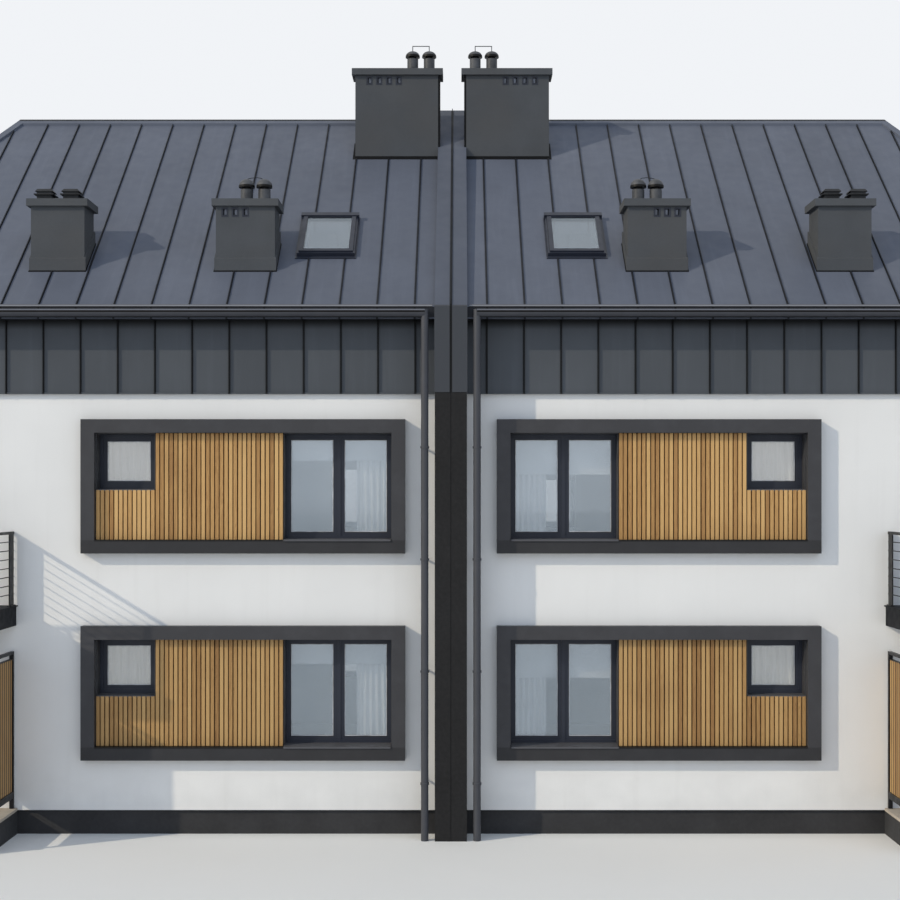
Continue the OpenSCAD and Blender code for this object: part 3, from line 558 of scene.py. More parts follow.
def sheet_finish(name, shade, roughness=0.47, pans=None, streaks=(1.0, 1.0, 1.0)):
    """Coated sheet metal: pans of different tone, painted shade beside the seams, buckles and
    streaks.
    """
    sizes = bpy.context.scene.block_sizes
    f = Finish(name, roughness, Specular_IOR_Level=0.15)
    body = f.mix(f.clouds(0.9), dimmed(shade, 0.93), dimmed(shade, 1.07))
    streak = f.fit(f.noise(1.0, 5.0, streaks, rough=0.6), 0.5, 0.78)
    body = f.mix(f.times(streak, 0.35), body, dimmed(shade, 1.35))
    if pans:
        x, y, _ = f.axes()
        if pans == "both":
            ends = f.math("GREATER_THAN", f.math("ABSOLUTE", x), sizes.half_w)
            number, near = (f.fit(ends, 0.0, 1.0, at_front, at_end) for at_front, at_end
                            in zip(pan(f, sizes, "x"), pan(f, sizes, "y")))
        else:
            number, near = pan(f, sizes, pans)
        at_back = f.math("GREATER_THAN", y, sizes.depth / 2)
        tone = f.chance(number, f.math("SIGN", x), at_back)
        body = f.scaled(body, f.fit(tone, 0.0, 1.0, 0.95, 1.06))
        # Painted shade along each seam, where the standing rib would cast it.
        body = f.shaded(body, near, *PAINTED_SEAM_SPAN, PAINTED_LINE_SHADE)
    f.colour(f.scaled(body, f.clouds(140.0, 0.97, 1.03, 2.0)))
    f.roughness(f.clouds(6.0, roughness - 0.07, roughness + 0.09, 4.0))
    return f.relief((f.noise(1.5, 2.0), 0.35, 0.006), (f.noise(60.0, 2.0), 0.05, 0.0004))


def slope_finish(name, shade, pans, streaks):
    """Roof sheet, with painted shade on the plumb faces and soffits under the drip edge, but for
    a thin strip at the soffits' level left in its own tone.
    """
    sizes = bpy.context.scene.block_sizes
    f = sheet_finish(name, shade, pans=pans, streaks=streaks)
    z = f.axes()[2]
    below, trim_mid, trim_half = 0.001, 0.010, 0.009
    # Painted shade under the drip edge: the faces there are darkened to 0.2 of their colour.
    under = f.math("LESS_THAN", z, sizes.eaves_z - below)
    trim = f.math("LESS_THAN", f.apart(z, sizes.soffit_z + trim_mid), trim_half)
    dark = f.math("SUBTRACT", f.times(under, 0.8), trim, clamp=True)
    return f.colour(f.scaled(f.base(), f.less(1.0, dark)))


def edge_finish(name, shade):
    """Eaves edge strip: a pale fold between the roof's tone above and near black painted shade
    along the drip.
    """
    sizes = bpy.context.scene.block_sizes
    f = sheet_finish(name, shade, 0.45)
    over = f.less(f.axes()[2], sizes.eaves_z)
    drip, fold = (0.006, 0.010), (0.023, 0.026)
    # Painted shade along the drip, near black.
    body = f.shaded(f.base(), over, *drip, 0.09)
    return f.colour(f.scaled(body, f.fit(over, *fold, 1.0, 0.5)))


def band_finish(name, shade):
    """Cladding sheet, with painted shade close under the soffit."""
    sizes = bpy.context.scene.block_sizes
    f = sheet_finish(name, shade, 0.5, "both", (9.0, 9.0, 0.6))
    drop = f.less(sizes.soffit_z, f.axes()[2])
    # Painted shade of the soffit: down to 0.15 of the colour just under it.
    return f.colour(f.shaded(f.base(), drop, 0.012, 0.12, 0.15))


def ridge_finish(name, shade):
    """Ridge and hip caps: roof sheet, with near black painted shade in the fold along the ridge
    line.
    """
    sizes = bpy.context.scene.block_sizes
    f = sheet_finish(name, shade)
    off = f.apart(f.axes()[1], sizes.depth / 2)
    return f.colour(f.shaded(f.base(), off, 0.040, 0.048, PAINTED_LINE_SHADE))


def capping_finish(name, shade, upright):
    """Sheet in one colour on the slopes and in a darker one down the piers, with painted shade
    along its middle seam.
    """
    sizes = bpy.context.scene.block_sizes
    f = sheet_finish(name, shade)
    middle, joint, past_eaves = sizes.depth / 2, (0.014, 0.022), 0.1
    pier = f.math("GREATER_THAN", f.apart(f.axes()[1], middle),
                  middle + sizes.eaves_out + past_eaves)
    off = f.math("ABSOLUTE", f.axes()[0])
    # Painted shade along the middle seam.
    return f.colour(f.shaded(f.mix(pier, f.base(), upright), off, *joint, PAINTED_LINE_SHADE))


def gutter_finish(name, shade):
    """Coated gutters: a painted highlight on the bead, painted shade in a line under it, the
    plain body and painted shade at the foot.
    """
    sizes = bpy.context.scene.block_sizes
    f = coat_finish(name, shade, 0.6, shine=0.15)
    rim_z = sizes.eaves_z - 0.045
    bead_end, line_end, foot = (0.018, 0.021), (0.042, 0.047), (0.098, 0.106)
    down = f.less(rim_z, f.axes()[2])
    # Painted highlight on the bead, then painted shade under it and at the foot.
    bead = f.fit(down, *bead_end, 2.7, 0.05)
    body = f.times(f.fit(down, *line_end), f.fit(down, *foot, 1.0, 0.3))
    return f.colour(f.scaled(f.base(), f.math("MAXIMUM", bead, body)))


def coat_finish(name, shade, roughness=0.5, worn=0.12, shine=0.3):
    """Powder-coated metal: fine pebbled skin, a dusty cloud and paler, rougher spots."""
    f = Finish(name, roughness, Specular_IOR_Level=shine)
    dust = f.fit(f.noise(3.0, 5.0, rough=0.6), 0.45, 0.75)
    body = f.mix(f.times(dust, worn), shade, dimmed(shade, 2.2))
    f.colour(f.scaled(body, f.clouds(500.0, 0.94, 1.06, 2.0)))
    f.roughness(f.clouds(9.0, roughness - 0.08, roughness + 0.1))
    return f.relief((f.noise(650.0, 2.0), 0.25, 0.0004), (f.noise(1.2, 2.0), 0.15, 0.003))


def timber_finish(name, along, start, pitch, groove=0.0):
    """Oiled boards: a tone for each board, long grain, knots, darker weather patches, and
    painted shade in any grooves.
    """
    shades, sizes = bpy.context.scene.block_colours, bpy.context.scene.block_sizes
    f = Finish(name, 0.6, Specular_IOR_Level=0.35)
    x, y, z = f.axes()
    place = f.math("ABSOLUTE", x) if along == "x" else y
    steps = f.math("DIVIDE", f.less(place, start), pitch)
    level = f.math("FLOOR", f.math("DIVIDE", z, sizes.storey_h))
    at_back = f.math("GREATER_THAN", y, sizes.depth / 2)
    tone = f.chance(f.math("FLOOR", steps), level,
                    f.math("ADD", f.math("SIGN", x), at_back))
    grain = f.noise(1.0, 6.0, (75.0, 75.0, 2.0), rough=0.62, warp=0.4)
    rings = f.noise(1.0, 2.0, (22.0, 22.0, 0.9), warp=1.2)
    lines = f.fit(f.math("SINE", f.times(rings, 60.0)), -1.0, 1.0)
    figure = f.math("ADD", f.times(grain, 0.55), f.times(lines, 0.2))
    mixed = f.math("ADD", f.times(tone, 0.75), figure)
    light = f.mix(f.fit(mixed, 0.55, 1.05), shades.timber_mid, shades.timber_light)
    body = f.mix(f.fit(mixed, 0.28, 0.62), shades.timber_dark, light)
    weather = f.fit(f.noise(1.1, 4.0, (1.0, 1.0, 0.8)), 0.52, 0.74)
    body = f.mix(f.times(weather, 0.38), body, dimmed(shades.timber_dark, 0.85))
    knots = f.fit(f.noise(1.0, 1.0, (16.0, 16.0, 7.0)), 0.76, 0.84)
    body = f.mix(f.times(knots, 0.7), body, dimmed(shades.timber_dark, 0.5))
    # Painted shade in the boards' grooves and the gaps between them.
    if groove:
        share = groove / pitch
        off = f.apart(f.math("FRACT", steps), 0.5)
        body = f.scaled(body, f.fit(off, 0.5 - 1.6 * share, 0.5 - share, 1.0, 0.12))
    f.colour(f.scaled(body, f.fit(level, 0.0, 1.0, 0.86, 1.08)))
    f.roughness(f.fit(grain, 0.3, 0.7, 0.5, 0.74))
    return f.relief((grain, 0.45, 0.0009), (lines, 0.15, 0.0004))


def surround_finish(name, shade):
    """Coated bands round the windows: darker lower bars with a black painted shadow line on top.
    """
    sizes = bpy.context.scene.block_sizes
    f = coat_finish(name, shade, 0.52, 0.2)
    x, _, z = f.axes()
    body, half = f.base(), sizes.band_w / 2
    bar_mid, bar_half, shade_line_mid = 0.1, (0.092, 0.1), 0.010
    off = f.apart(f.math("ABSOLUTE", x), sizes.band_x + half)
    beside = f.math("GREATER_THAN", off, half)
    for storey in (0, 1):
        drop = f.less(band_z(sizes, storey), z)
        body = f.shaded(body, f.apart(drop, bar_mid), *bar_half, 0.62)
        # Painted shadow: a black line just over each band's lower edge.
        gap = f.fit(f.apart(drop, shade_line_mid), shade_line_mid, shade_line_mid + 0.004)
        body = f.shaded(body, f.math("MAXIMUM", gap, beside), 0.0, 1.0, 0.1)
    return f.colour(body)


def glass_finish(name, shade):
    """Double glazing: a pale blue mirror that is partly clear, greyer in small windows."""
    sizes = bpy.context.scene.block_sizes
    f = Finish(name, 0.04, Specular_IOR_Level=0.5, Metallic=0.9, Alpha=0.4)
    body = f.mix(f.clouds(0.8), dimmed(shade, 0.98), dimmed(shade, 1.1))
    half, grey_shade = sizes.small_w / 2, (0.72, 0.72, 0.70)
    off = f.apart(f.math("ABSOLUTE", f.axes()[0]), sizes.band_x + sizes.band_w - half)
    body = f.mix(f.math("LESS_THAN", off, half), body, grey_shade)
    on_roof = f.math("GREATER_THAN", f.axes()[2], sizes.eaves_z)
    f.colour(f.mix(on_roof, body, dimmed(shade, 0.88)))
    f.roughness(f.fit(f.noise(4.0, 4.0), 0.35, 0.8, 0.03, 0.09))
    return f.relief((f.noise(1.1, 1.0), 0.04, 0.002))


def cloth_finish(name, shade):
    """Thin woven curtain cloth: a fine weave of crossing threads and a soft sheen."""
    f = Finish(name, 0.9, Specular_IOR_Level=0.2, Sheen_Weight=0.25)
    x, _, z = f.axes()
    weft, warp = (f.math("SINE", f.times(axis, 5200.0)) for axis in (z, x))
    weave = f.fit(f.times(weft, warp), -1.0, 1.0)
    body = f.mix(weave, dimmed(shade, 0.92), shade)
    f.colour(f.scaled(body, f.clouds(6.0, 0.95, 1.03)))
    f.roughness(f.clouds(12.0, 0.84, 0.96))
    return f.relief((weave, 0.3, 0.0003), (f.noise(9.0, 2.0), 0.2, 0.003))


def terrace_finish(name, shade):
    """Terraces: beige slabs with joints over a dark rendered base, split by height."""
    f = Finish(name, 0.85, Specular_IOR_Level=0.3)
    x, y, z = f.axes()
    slab_z, slab_w, joint_share = 0.3385, 0.6, 0.012
    steps = [f.math("DIVIDE", axis, slab_w) for axis in (x, y)]
    cloud = f.clouds(2.2, detail=5.0, rough=0.6)
    slab = f.mix(cloud, dimmed(shade, 0.86), dimmed(shade, 1.1))
    tone = f.chance(*(f.math("FLOOR", step) for step in steps))
    slab = f.scaled(slab, f.fit(tone, 0.0, 1.0, 0.94, 1.06))
    joint = f.math("MAXIMUM", *(
        f.math("LESS_THAN", f.math("FRACT", step), joint_share) for step in steps))
    slab = f.mix(joint, slab, dimmed(shade, 0.45))
    base = f.mix(cloud, (0.030, 0.031, 0.034), (0.044, 0.045, 0.048))
    body = f.mix(f.math("GREATER_THAN", z, slab_z), base, slab)
    f.colour(f.scaled(body, f.clouds(200.0, 0.9, 1.1)))
    f.roughness(f.clouds(20.0, 0.78, 0.92))
    return f.relief((f.noise(180.0, 4.0), 0.4, 0.001), (f.times(joint, -1.0), 0.6, 0.003))


def zinc_finish(name, shade, roughness=0.5):
    """Weathered zinc: mottled grey with paler bloom and a little metal shine."""
    f = Finish(name, roughness, Metallic=0.2, Specular_IOR_Level=0.2)
    bloom = f.fit(f.noise(7.0, 5.0, rough=0.65), 0.35, 0.7)
    body = f.mix(bloom, dimmed(shade, 0.75), dimmed(shade, 1.45))
    f.colour(f.scaled(body, f.clouds(120.0, 0.93, 1.07)))
    f.roughness(f.fit(bloom, 0.0, 1.0, roughness - 0.1, roughness + 0.15))
    return f.relief((f.noise(40.0), 0.2, 0.001), (f.noise(300.0), 0.15, 0.0004))


def hat_finish(name, shade):
    """Zinc flue pots with painted shade on the necks and under the rims, and darker hoods on the
    outer chimneys.
    """
    sizes = bpy.context.scene.block_sizes
    f = zinc_finish(name, shade)
    body, neck = f.base(), 0.031
    # Painted shade under the hats: near black from each pot's top up past the rim.
    for top, pot_h in ((sizes.ridge_stack_z, 0.205), (sizes.low_stack_z, 0.19)):
        off = f.apart(f.axes()[2], top + pot_h + neck)
        body = f.shaded(body, off, neck, neck + 0.003, 0.07)
    outer = f.math("GREATER_THAN", f.math("ABSOLUTE", f.axes()[0]), OUTER_FOOT[0])
    return f.colour(f.scaled(body, f.fit(outer, 0.0, 1.0, 1.0, 0.4)))


def finish(name):
    """The block's finish of that name, made the first time that it is asked for."""
    found = bpy.data.materials.get(name)
    if found:
        return found
    shades = bpy.context.scene.block_colours
    sizes, timber = bpy.context.scene.block_sizes, bpy.context.scene.block_timber
    makers = {
        "white_render": (render_finish, shades.render),
        "plinth_render": (stone_finish, shades.base),
        "pier_render": (stone_finish, shades.pier, 0.85),
        "screed": (stone_finish, shades.concrete, 0.85, 90.0),
        "terrace_stone": (terrace_finish, shades.concrete),
        "roof_sheet": (slope_finish, shades.roof, "x", (9.0, 0.7, 0.7)),
        "hip_sheet": (slope_finish, shades.roof, "y", (0.7, 9.0, 0.7)),
        "ridge_sheet": (ridge_finish, shades.roof),
        "edge_sheet": (edge_finish, shades.edge),
        "band_sheet": (band_finish, shades.cladding),
        "capping_sheet": (capping_finish, dimmed(shades.roof, 0.82), shades.pier_sheet),
        "gutter_coat": (gutter_finish, shades.gutter),
        "pipe_coat": (coat_finish, dimmed(shades.gutter, 1.06), 0.45),
        "band_coat": (surround_finish, shades.surround),
        # Painted light: the sills are the bands' coat made lighter, for the light on their tops.
        "sill_coat": (coat_finish, dimmed(shades.surround, 1.8)),
        "window_coat": (coat_finish, shades.frames, 0.36, 0.06),
        "rail_coat": (coat_finish, dimmed(shades.rails, 0.6), 0.42, 0.08, 0.2),
        "balcony_coat": (coat_finish, shades.balcony, 0.6, 0.1, 0.12),
        "stack_render": (chimney_finish, shades.chimney),
        "cap_render": (chimney_finish, dimmed(shades.chimney, 1.08)),
        "hat_zinc": (hat_finish, shades.hats),
        "pale_zinc": (zinc_finish, shades.zinc, 0.4),
        "vent_zinc": (zinc_finish, shades.vents),
        # Near black flashings: painted shade at the chimneys' feet and beside them.
        "flashing_sheet": (sheet_finish, dimmed(shades.roof, 0.04), 0.7),
        "slat_timber": (timber_finish, "x", sizes.band_x + sizes.double_w, timber.pitch),
        "screen_timber": (timber_finish, "y", timber.screen_gap / 2 - timber.screen_y,
                          (timber.screen_w + timber.screen_gap) / 3, 0.013),
        "backing_board": (stone_finish, shades.backing, 0.8),
        "blue_glass": (glass_finish, shades.glass),
        "curtain_cloth": (cloth_finish, shades.cloth),
    }
    maker, *values = makers[name]
    return maker(name, *values).material


FINISHED_NODES = {
    "screed": ("ground_floor", "upper_floor", "attic_floor"),
    "pier_render": ("party_wall",),
    "capping_sheet": ("party_capping",),
    "plinth_render": ("plinth_left", "plinth_right"),
    "white_render": ("front_wall_left", "front_wall_right", "back_wall_left",
                     "back_wall_right", "end_wall_left", "end_wall_right"),
    "band_sheet": ("cladding_left", "cladding_right"),
    "roof_sheet": ("front_roof_left", "front_roof_right", "back_roof_left",
                   "back_roof_right"),
    "hip_sheet": ("hip_roof_left", "hip_roof_right"),
    "ridge_sheet": ("roof_ridges",),
    "gutter_coat": ("gutter_left", "gutter_right"),
    "pipe_coat": ("downpipes",),
    "band_coat": ("front_surrounds", "back_surrounds"),
    "backing_board": ("front_panels", "back_panels"),
    "window_coat": ("front_windows", "back_windows", "skylights"),
    "blue_glass": ("front_glass", "back_glass", "skylight_glass"),
    "sill_coat": ("window_sills",),
    "stack_render": ("ridge_chimneys", "mid_chimneys", "outer_chimneys"),
    "cap_render": ("chimney_caps",),
    "hat_zinc": ("flue_pots",),
    "balcony_coat": ("balcony_slabs",),
    "rail_coat": ("balcony_railings", "terrace_screens"),
    "terrace_stone": ("terraces",),
}


# Operators, one for each group of pieces

class BLOCK_OT_finishes(bpy.types.Operator):
    """Give every node of the frame its finish."""

    bl_idname = "block.finishes"
    bl_label = "Frame Finishes"

    def execute(self, context):
        named = {node: name for name, nodes in FINISHED_NODES.items() for node in nodes}
        for node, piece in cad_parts.items():
            piece.data.materials.clear()
            piece.data.materials.append(finish(named[node]))
        return {"FINISHED"}


class BLOCK_OT_slats(bpy.types.Operator):
    """Fill the window bands with upright timber slats on dark backing boards."""

    bl_idname = "block.slats"
    bl_label = "Timber Slats"

    def slat_rings(self, sizes, timber):
        """Slats from edge to edge: a bar with two rounded front edges, carried up a band.

        The outline's front corners are arcs of round_r through three points each. Every
        slat stands a little left or right, and forward or back, by a seeded amount.
        """
        foot_gap, head_gap, ease = 0.003, 0.004, 0.0012
        sideways, forward = 0.0006, 0.0014
        left = sizes.band_x + sizes.double_w
        right = sizes.band_x + sizes.band_w
        count = round((right - left) / timber.pitch)
        spread = (right - left - count * timber.pitch) / 2
        middle = left + spread + (np.arange(count) + 0.5) * timber.pitch
        r, half = timber.round_r, timber.width / 2
        corner = r * circle(np.radians([180.0, 225.0, 270.0]))
        outline = np.concatenate([
            corner + [-half + r, -timber.front + r],
            corner[::-1] * [-1, 1] + [half - r, -timber.front + r],
            [[half, -timber.backing], [-half, -timber.backing]]])
        every = []
        for storey in (0, 1):
            low = band_z(sizes, storey)
            high = low + sizes.band_h
            short = middle > right - sizes.small_w
            top = np.where(short, high - sizes.small_h, high) - head_gap
            for side in (0, 1):
                chance = np.random.default_rng(11 + 2 * storey + side)
                places = np.repeat(outline[None], count, axis=0)
                places[:, :, 0] += (middle + chance.normal(0, sideways, count))[:, None]
                deep = chance.uniform(0, forward, count)[:, None]
                places[:, :, 1] += np.where(places[:, :, 1] < -timber.backing, deep, 0.0)
                rings = carried_up(places, low + foot_gap, top, ease)
                every.append(turned_over(rings, 0, 0.0) if side else rings)
        return np.concatenate(every)

    def backing_rings(self, sizes, timber):
        """The L-shaped outline of a panel in X and Z, carried from the wall outwards."""
        x0 = sizes.band_x + sizes.double_w
        x2 = sizes.band_x + sizes.band_w
        x1 = x2 - sizes.small_w
        rings = []
        for storey in (0, 1):
            z0 = band_z(sizes, storey)
            z2 = z0 + sizes.band_h
            z1 = z2 - sizes.small_h
            outline = np.array([[x0, z0], [x0, z2], [x1, z2], [x1, z1], [x2, z1], [x2, z0]])
            ring = np.zeros((2, 6, 3))
            ring[:, :, [0, 2]] = outline
            ring[0, :, 1] = -timber.backing
            rings.append(ring)
        return both(np.array(rings))

    def execute(self, context):
        sizes, timber = context.scene.block_sizes, context.scene.block_timber
        slats, backing = self.slat_rings(sizes, timber), self.backing_rings(sizes, timber)
        for face in ("front", "back"):
            add_piece(f"{face}_slats", lofts(slats), "slat_timber",
                      [f"{face}_panels"])
            add_piece(f"{face}_slat_backing", lofts(backing), "backing_board")
            slats, backing = behind(sizes, slats), behind(sizes, backing)
        return {"FINISHED"}


class BLOCK_OT_screens(bpy.types.Operator):
    """Cover the terrace screens' boards with grooved timber."""

    bl_idname = "block.screens"
    bl_label = "Screen Boards"

    def execute(self, context):
        """Each board's outline has eased corners and two V grooves on both faces."""
        timber = context.scene.block_timber
        half_t, width = timber.screen_t / 2, timber.screen_w
        groove, ease, end_ease, count = 0.004, 0.0015, 0.001, 4
        face = [[half_t, ease]]
        for cut in (width / 3, 2 * width / 3):
            face += [[half_t, cut - groove], [half_t - groove, cut], [half_t, cut + groove]]
        face = np.array(face + [[half_t, width - ease], [half_t - ease, width]])
        end = np.array([[half_t - ease, 0.0]])
        outline = np.concatenate([end, face, face[::-1] * [-1, 1], end * [-1, 1]])
        step = width + timber.screen_gap
        starts = timber.screen_gap - timber.screen_y + np.arange(count) * step
        outlines = outline + points(timber.screen_x, starts)[:, None]
        rings = both(carried_up(outlines, timber.screen_z0, timber.screen_z1, end_ease))
        add_piece("screen_boards", lofts(rings), "screen_timber")
        return {"FINISHED"}


# Chimneys on the front slope: left, front, width and depth of each foot
RIDGE_FOOT = (0.231, 3.23, 1.355, 0.36)
MID_FOOT = (2.57, 0.44, 0.86, 0.57)
OUTER_FOOT = (5.345, 0.44, 0.78, 0.57)
COLLAR_T = 0.020


class BLOCK_OT_flashings(bpy.types.Operator):
    """Lay near black sheet, a painted shade, round the chimneys' feet and up their sides by the
    party wall.
    """

    bl_idname = "block.flashings"
    bl_label = "Chimney Flashings"

    def flashing(self, sizes, foot, reach, upstand, open_side=False):
        """An L of sheet carried round a foot on the slope.

        A profile point (a, h) lies a outside the foot in plan and h over the slope there,
        so the four corners are mitred and every edge follows the slope.
        """
        t = 0.005
        profile = np.array([[0, -t], [reach, -t], [reach, t], [t, t], [t, upstand],
                            [0, upstand]])
        x0, y0, w, d = foot
        corners = ((x0, y0, -1, -1), (x0 + w, y0, 1, -1), (x0 + w, y0 + d, 1, 1),
                   (x0, y0 + d, -1, 1))
        rings = np.empty((1, 4, len(profile), 3))
        for i, (x, y, sx, sy) in enumerate(corners):
            near = 0.0 if open_side and sx < 0 else sx
            out_y = y + sy * profile[:, 0]
            rings[0, i] = points(x + near * profile[:, 0], out_y,
                                 front_z(sizes, out_y) + profile[:, 1])
        return rings[:, :, ::-1]

    def execute(self, context):
        sizes = context.scene.block_sizes
        ridge = both(self.flashing(sizes, RIDGE_FOOT, reach=0.041, upstand=0.03,
                                   open_side=True))
        x, y, _, d = RIDGE_FOOT
        gap_w, bite, inset, ease, clear = 0.034, 0.001, 0.002, 0.001, 0.001
        over_slope, cap_h = 0.1, 0.106
        # A near black strip of painted shade up the ridge chimneys' sides by the party wall.
        side = both(boxes([x - gap_w, y + inset, front_z(sizes, y) + over_slope],
                          [x + bite, y + d - inset, sizes.ridge_stack_z - cap_h],
                          ease))
        out = COLLAR_T + clear
        low = [both(self.flashing(sizes, (x - out, y - out, w + 2 * out, d + 2 * out),
                                  reach=0.010, upstand=0.016))
               for x, y, w, d in (MID_FOOT, OUTER_FOOT)]
        add_piece("chimney_flashings",
                  join(lofts(ridge), lofts(side), lofts(np.concatenate(low), loop=True)),
                  "flashing_sheet")
        return {"FINISHED"}


class BLOCK_OT_vents(bpy.types.Operator):
    """Line the chimneys' vent slots with sleeves and close them with pale plates."""

    bl_idname = "block.vents"
    bl_label = "Vent Sleeves"

    def execute(self, context):
        """A sleeve is a lining with a lip that stands proud, carried round its slot."""
        slot_w, slot_h, ease = 0.066, 0.107, 0.001
        thick, deep, lip, proud, core = 0.006, 0.05, 0.016, 0.004, 0.04
        plate_t, set_back, foot_gap, head_gap = 0.008, 0.02, 0.018, 0.012
        left_gap, past_middle = 0.007, 0.006
        profile = np.array([[0.0, 0.0], [0.0, deep], [thick, deep], [thick, -proud],
                            [-lip, -proud], [-lip, 0.0]])
        # A chimney's foot, its slots' middle nearest the end, their spacing, number and sill
        rows = ((RIDGE_FOOT, 1.356, 0.16, 4, 11.586), (MID_FOOT, 3.30, 0.151, 3, 8.919))
        sleeves, plates, backs = [], [], []
        for (_, front, _, depth), first, step, count, z in rows:
            back = front + depth
            for x in first - step * np.arange(count):
                left = x - slot_w / 2
                for face, way in ((front, 1), (back, -1)):
                    rings = frame_rings([[left, z, slot_w, slot_h]],
                                        profile * [1, way] + [0, face])
                    sleeves.append(rings if way > 0 else rings[:, :, ::-1])
                for y in (front + set_back, back - set_back - plate_t):
                    plates.append(boxes(
                        [left + left_gap, y, z + foot_gap],
                        [x + past_middle, y + plate_t, z + slot_h - head_gap], ease))
                backs.append(boxes([left, front + core, z],
                                   [left + slot_w, back - core, z + slot_h], ease))
        add_piece("vent_sleeves", join(lofts(both(np.concatenate(sleeves)), loop=True),
                                       lofts(both(np.concatenate(backs)))),
                  "window_coat")
        add_piece("vent_plates", lofts(both(np.concatenate(plates))), "vent_zinc")
        return {"FINISHED"}


class BLOCK_OT_bows(bpy.types.Operator):
    """Bend a thin wire over each pair of hats on the middle chimneys."""

    bl_idname = "block.bows"
    bl_label = "Hat Bows"

    def execute(self, context):
        """The wire runs up from one hat's top and round a quarter ellipse to the other's rim."""
        sizes = context.scene.block_sizes
        middle_x, y = 2.887, MID_FOOT[1] + MID_FOOT[3] / 2
        half_gap, hat_r, rim_h, top, clear = 0.129, 0.118, 0.232, 0.349, 0.02
        wire_r, bend_share, bend_h = 0.005, 0.6, 0.012
        turn = np.linspace(0.5 * math.pi, 0.0, 14)
        round_x = middle_x - clear + (half_gap + hat_r + clear) * np.cos(turn)
        round_h = rim_h + (top + clear - rim_h) * np.sin(turn)
        x = np.concatenate([middle_x - half_gap * np.array([1.0, bend_share]), round_x])
        z = sizes.low_stack_z + np.concatenate([[top - clear, top + bend_h], round_h])
        wire = rods(points(x, y, z)[None], wire_r)
        add_piece("hat_bows", lofts(both(wire)), "rail_coat", smooth=True)
        return {"FINISHED"}


class BLOCK_OT_straps(bpy.types.Operator):
    """Hold the gutters with flat straps from the fascia to the outer bead."""

    bl_idname = "block.straps"
    bl_label = "Gutter Straps"

    def execute(self, context):
        sizes = context.scene.block_sizes
        width, thick, reach, bite, ease = 0.025, 0.004, 0.112, 0.002, 0.0008
        first_x, first_y, end_gap, rim_drop = 0.78, 0.15, 0.1, 0.052
        low_z = sizes.eaves_z - rim_drop - thick
        eaves_x = sizes.half_w + sizes.eaves_out
        along = np.arange(first_x, eaves_x - end_gap, sizes.seam_gap)
        low = points(along - width / 2, -sizes.eaves_out - reach, low_z)
        front = both(boxes(low, low + [width, reach + bite, thick], ease))
        deep = np.arange(first_y, sizes.depth, sizes.seam_gap)
        low = points(eaves_x - bite, deep - width / 2, low_z)
        ends = both(boxes(low, low + [reach + bite, width, thick], ease))
        rings = np.concatenate([front, behind(sizes, front), ends])
        add_piece("gutter_straps", lofts(rings), "gutter_coat")
        return {"FINISHED"}


class BLOCK_OT_eaves(bpy.types.Operator):
    """Fold a pale edge strip over the seams' ends along the eaves."""

    bl_idname = "block.eaves"
    bl_label = "Eaves Edges"

    def execute(self, context):
        """Each strip is a bar with eased edges, set against the plumb face of the eaves."""
        sizes = context.scene.block_sizes
        out, thick, start, ease = sizes.eaves_out, 0.004, 0.26, 0.001
        drip, fold_h = 0.010, 0.034
        low, high = sizes.eaves_z - drip, sizes.eaves_z + fold_h
        end_x = sizes.half_w + out
        front = both(boxes([start, -out - thick, low], [end_x + thick, -out, high], ease))
        ends = both(boxes([end_x, -out, low], [end_x + thick, sizes.depth + out, high],
                          ease))
        rings = np.concatenate([front, behind(sizes, front), ends])
        add_piece("eaves_edges", lofts(rings), "edge_sheet")
        return {"FINISHED"}


class BLOCK_OT_glazing(bpy.types.Operator):
    """Edge the glass with pale spacer bars and dark rubber seals."""

    bl_idname = "block.glazing"
    bl_label = "Glazing Edges"

    def execute(self, context):
        """Each profile point is how far inside the glass area it lies, and its depth."""
        sizes = context.scene.block_sizes
        unit_t = 0.028
        glass_y = [0, sizes.reveal + (sizes.frame_d - unit_t) / 2]
        seal = np.array([[-0.002, -0.006], [-0.002, 0.001], [0.006, 0.001],
                         [0.008, -0.001], [0.004, -0.006]]) + glass_y
        bar = np.array([[0.005, -0.0008], [0.005, 0.002], [0.019, 0.002],
                        [0.019, -0.0008]]) + glass_y
        for name, profile, kind in (("glass_seals", seal, "rail_coat"),
                                    ("glass_spacers", bar, "pale_zinc")):
            front, back = (both(frame_rings(all_panes(sizes, doors), profile))
                           for doors in (True, False))
            rings = np.concatenate([front, behind(sizes, back)])
            add_piece(name, lofts(rings, loop=True), kind)
        return {"FINISHED"}


def on_side(way, left, width):
    """Left edge of a width on the right-hand house, or where it lies on the left-hand one."""
    return left if way > 0 else -left - width


# Each curtain: the gap beside it, its width and pleat, the gaps under and over it, and how
# far behind its rail's line it hangs
CURTAINS = {"small_curtain": (0.02, 0.80, 0.10, 0.02, 0.03, 0.0),
            "long_curtain": (0.03, 0.50, 0.085, 0.02, 0.03, 0.02),
            "door_curtain": (0.03, 0.56, 0.09, 0.04, 0.04, 0.0)}


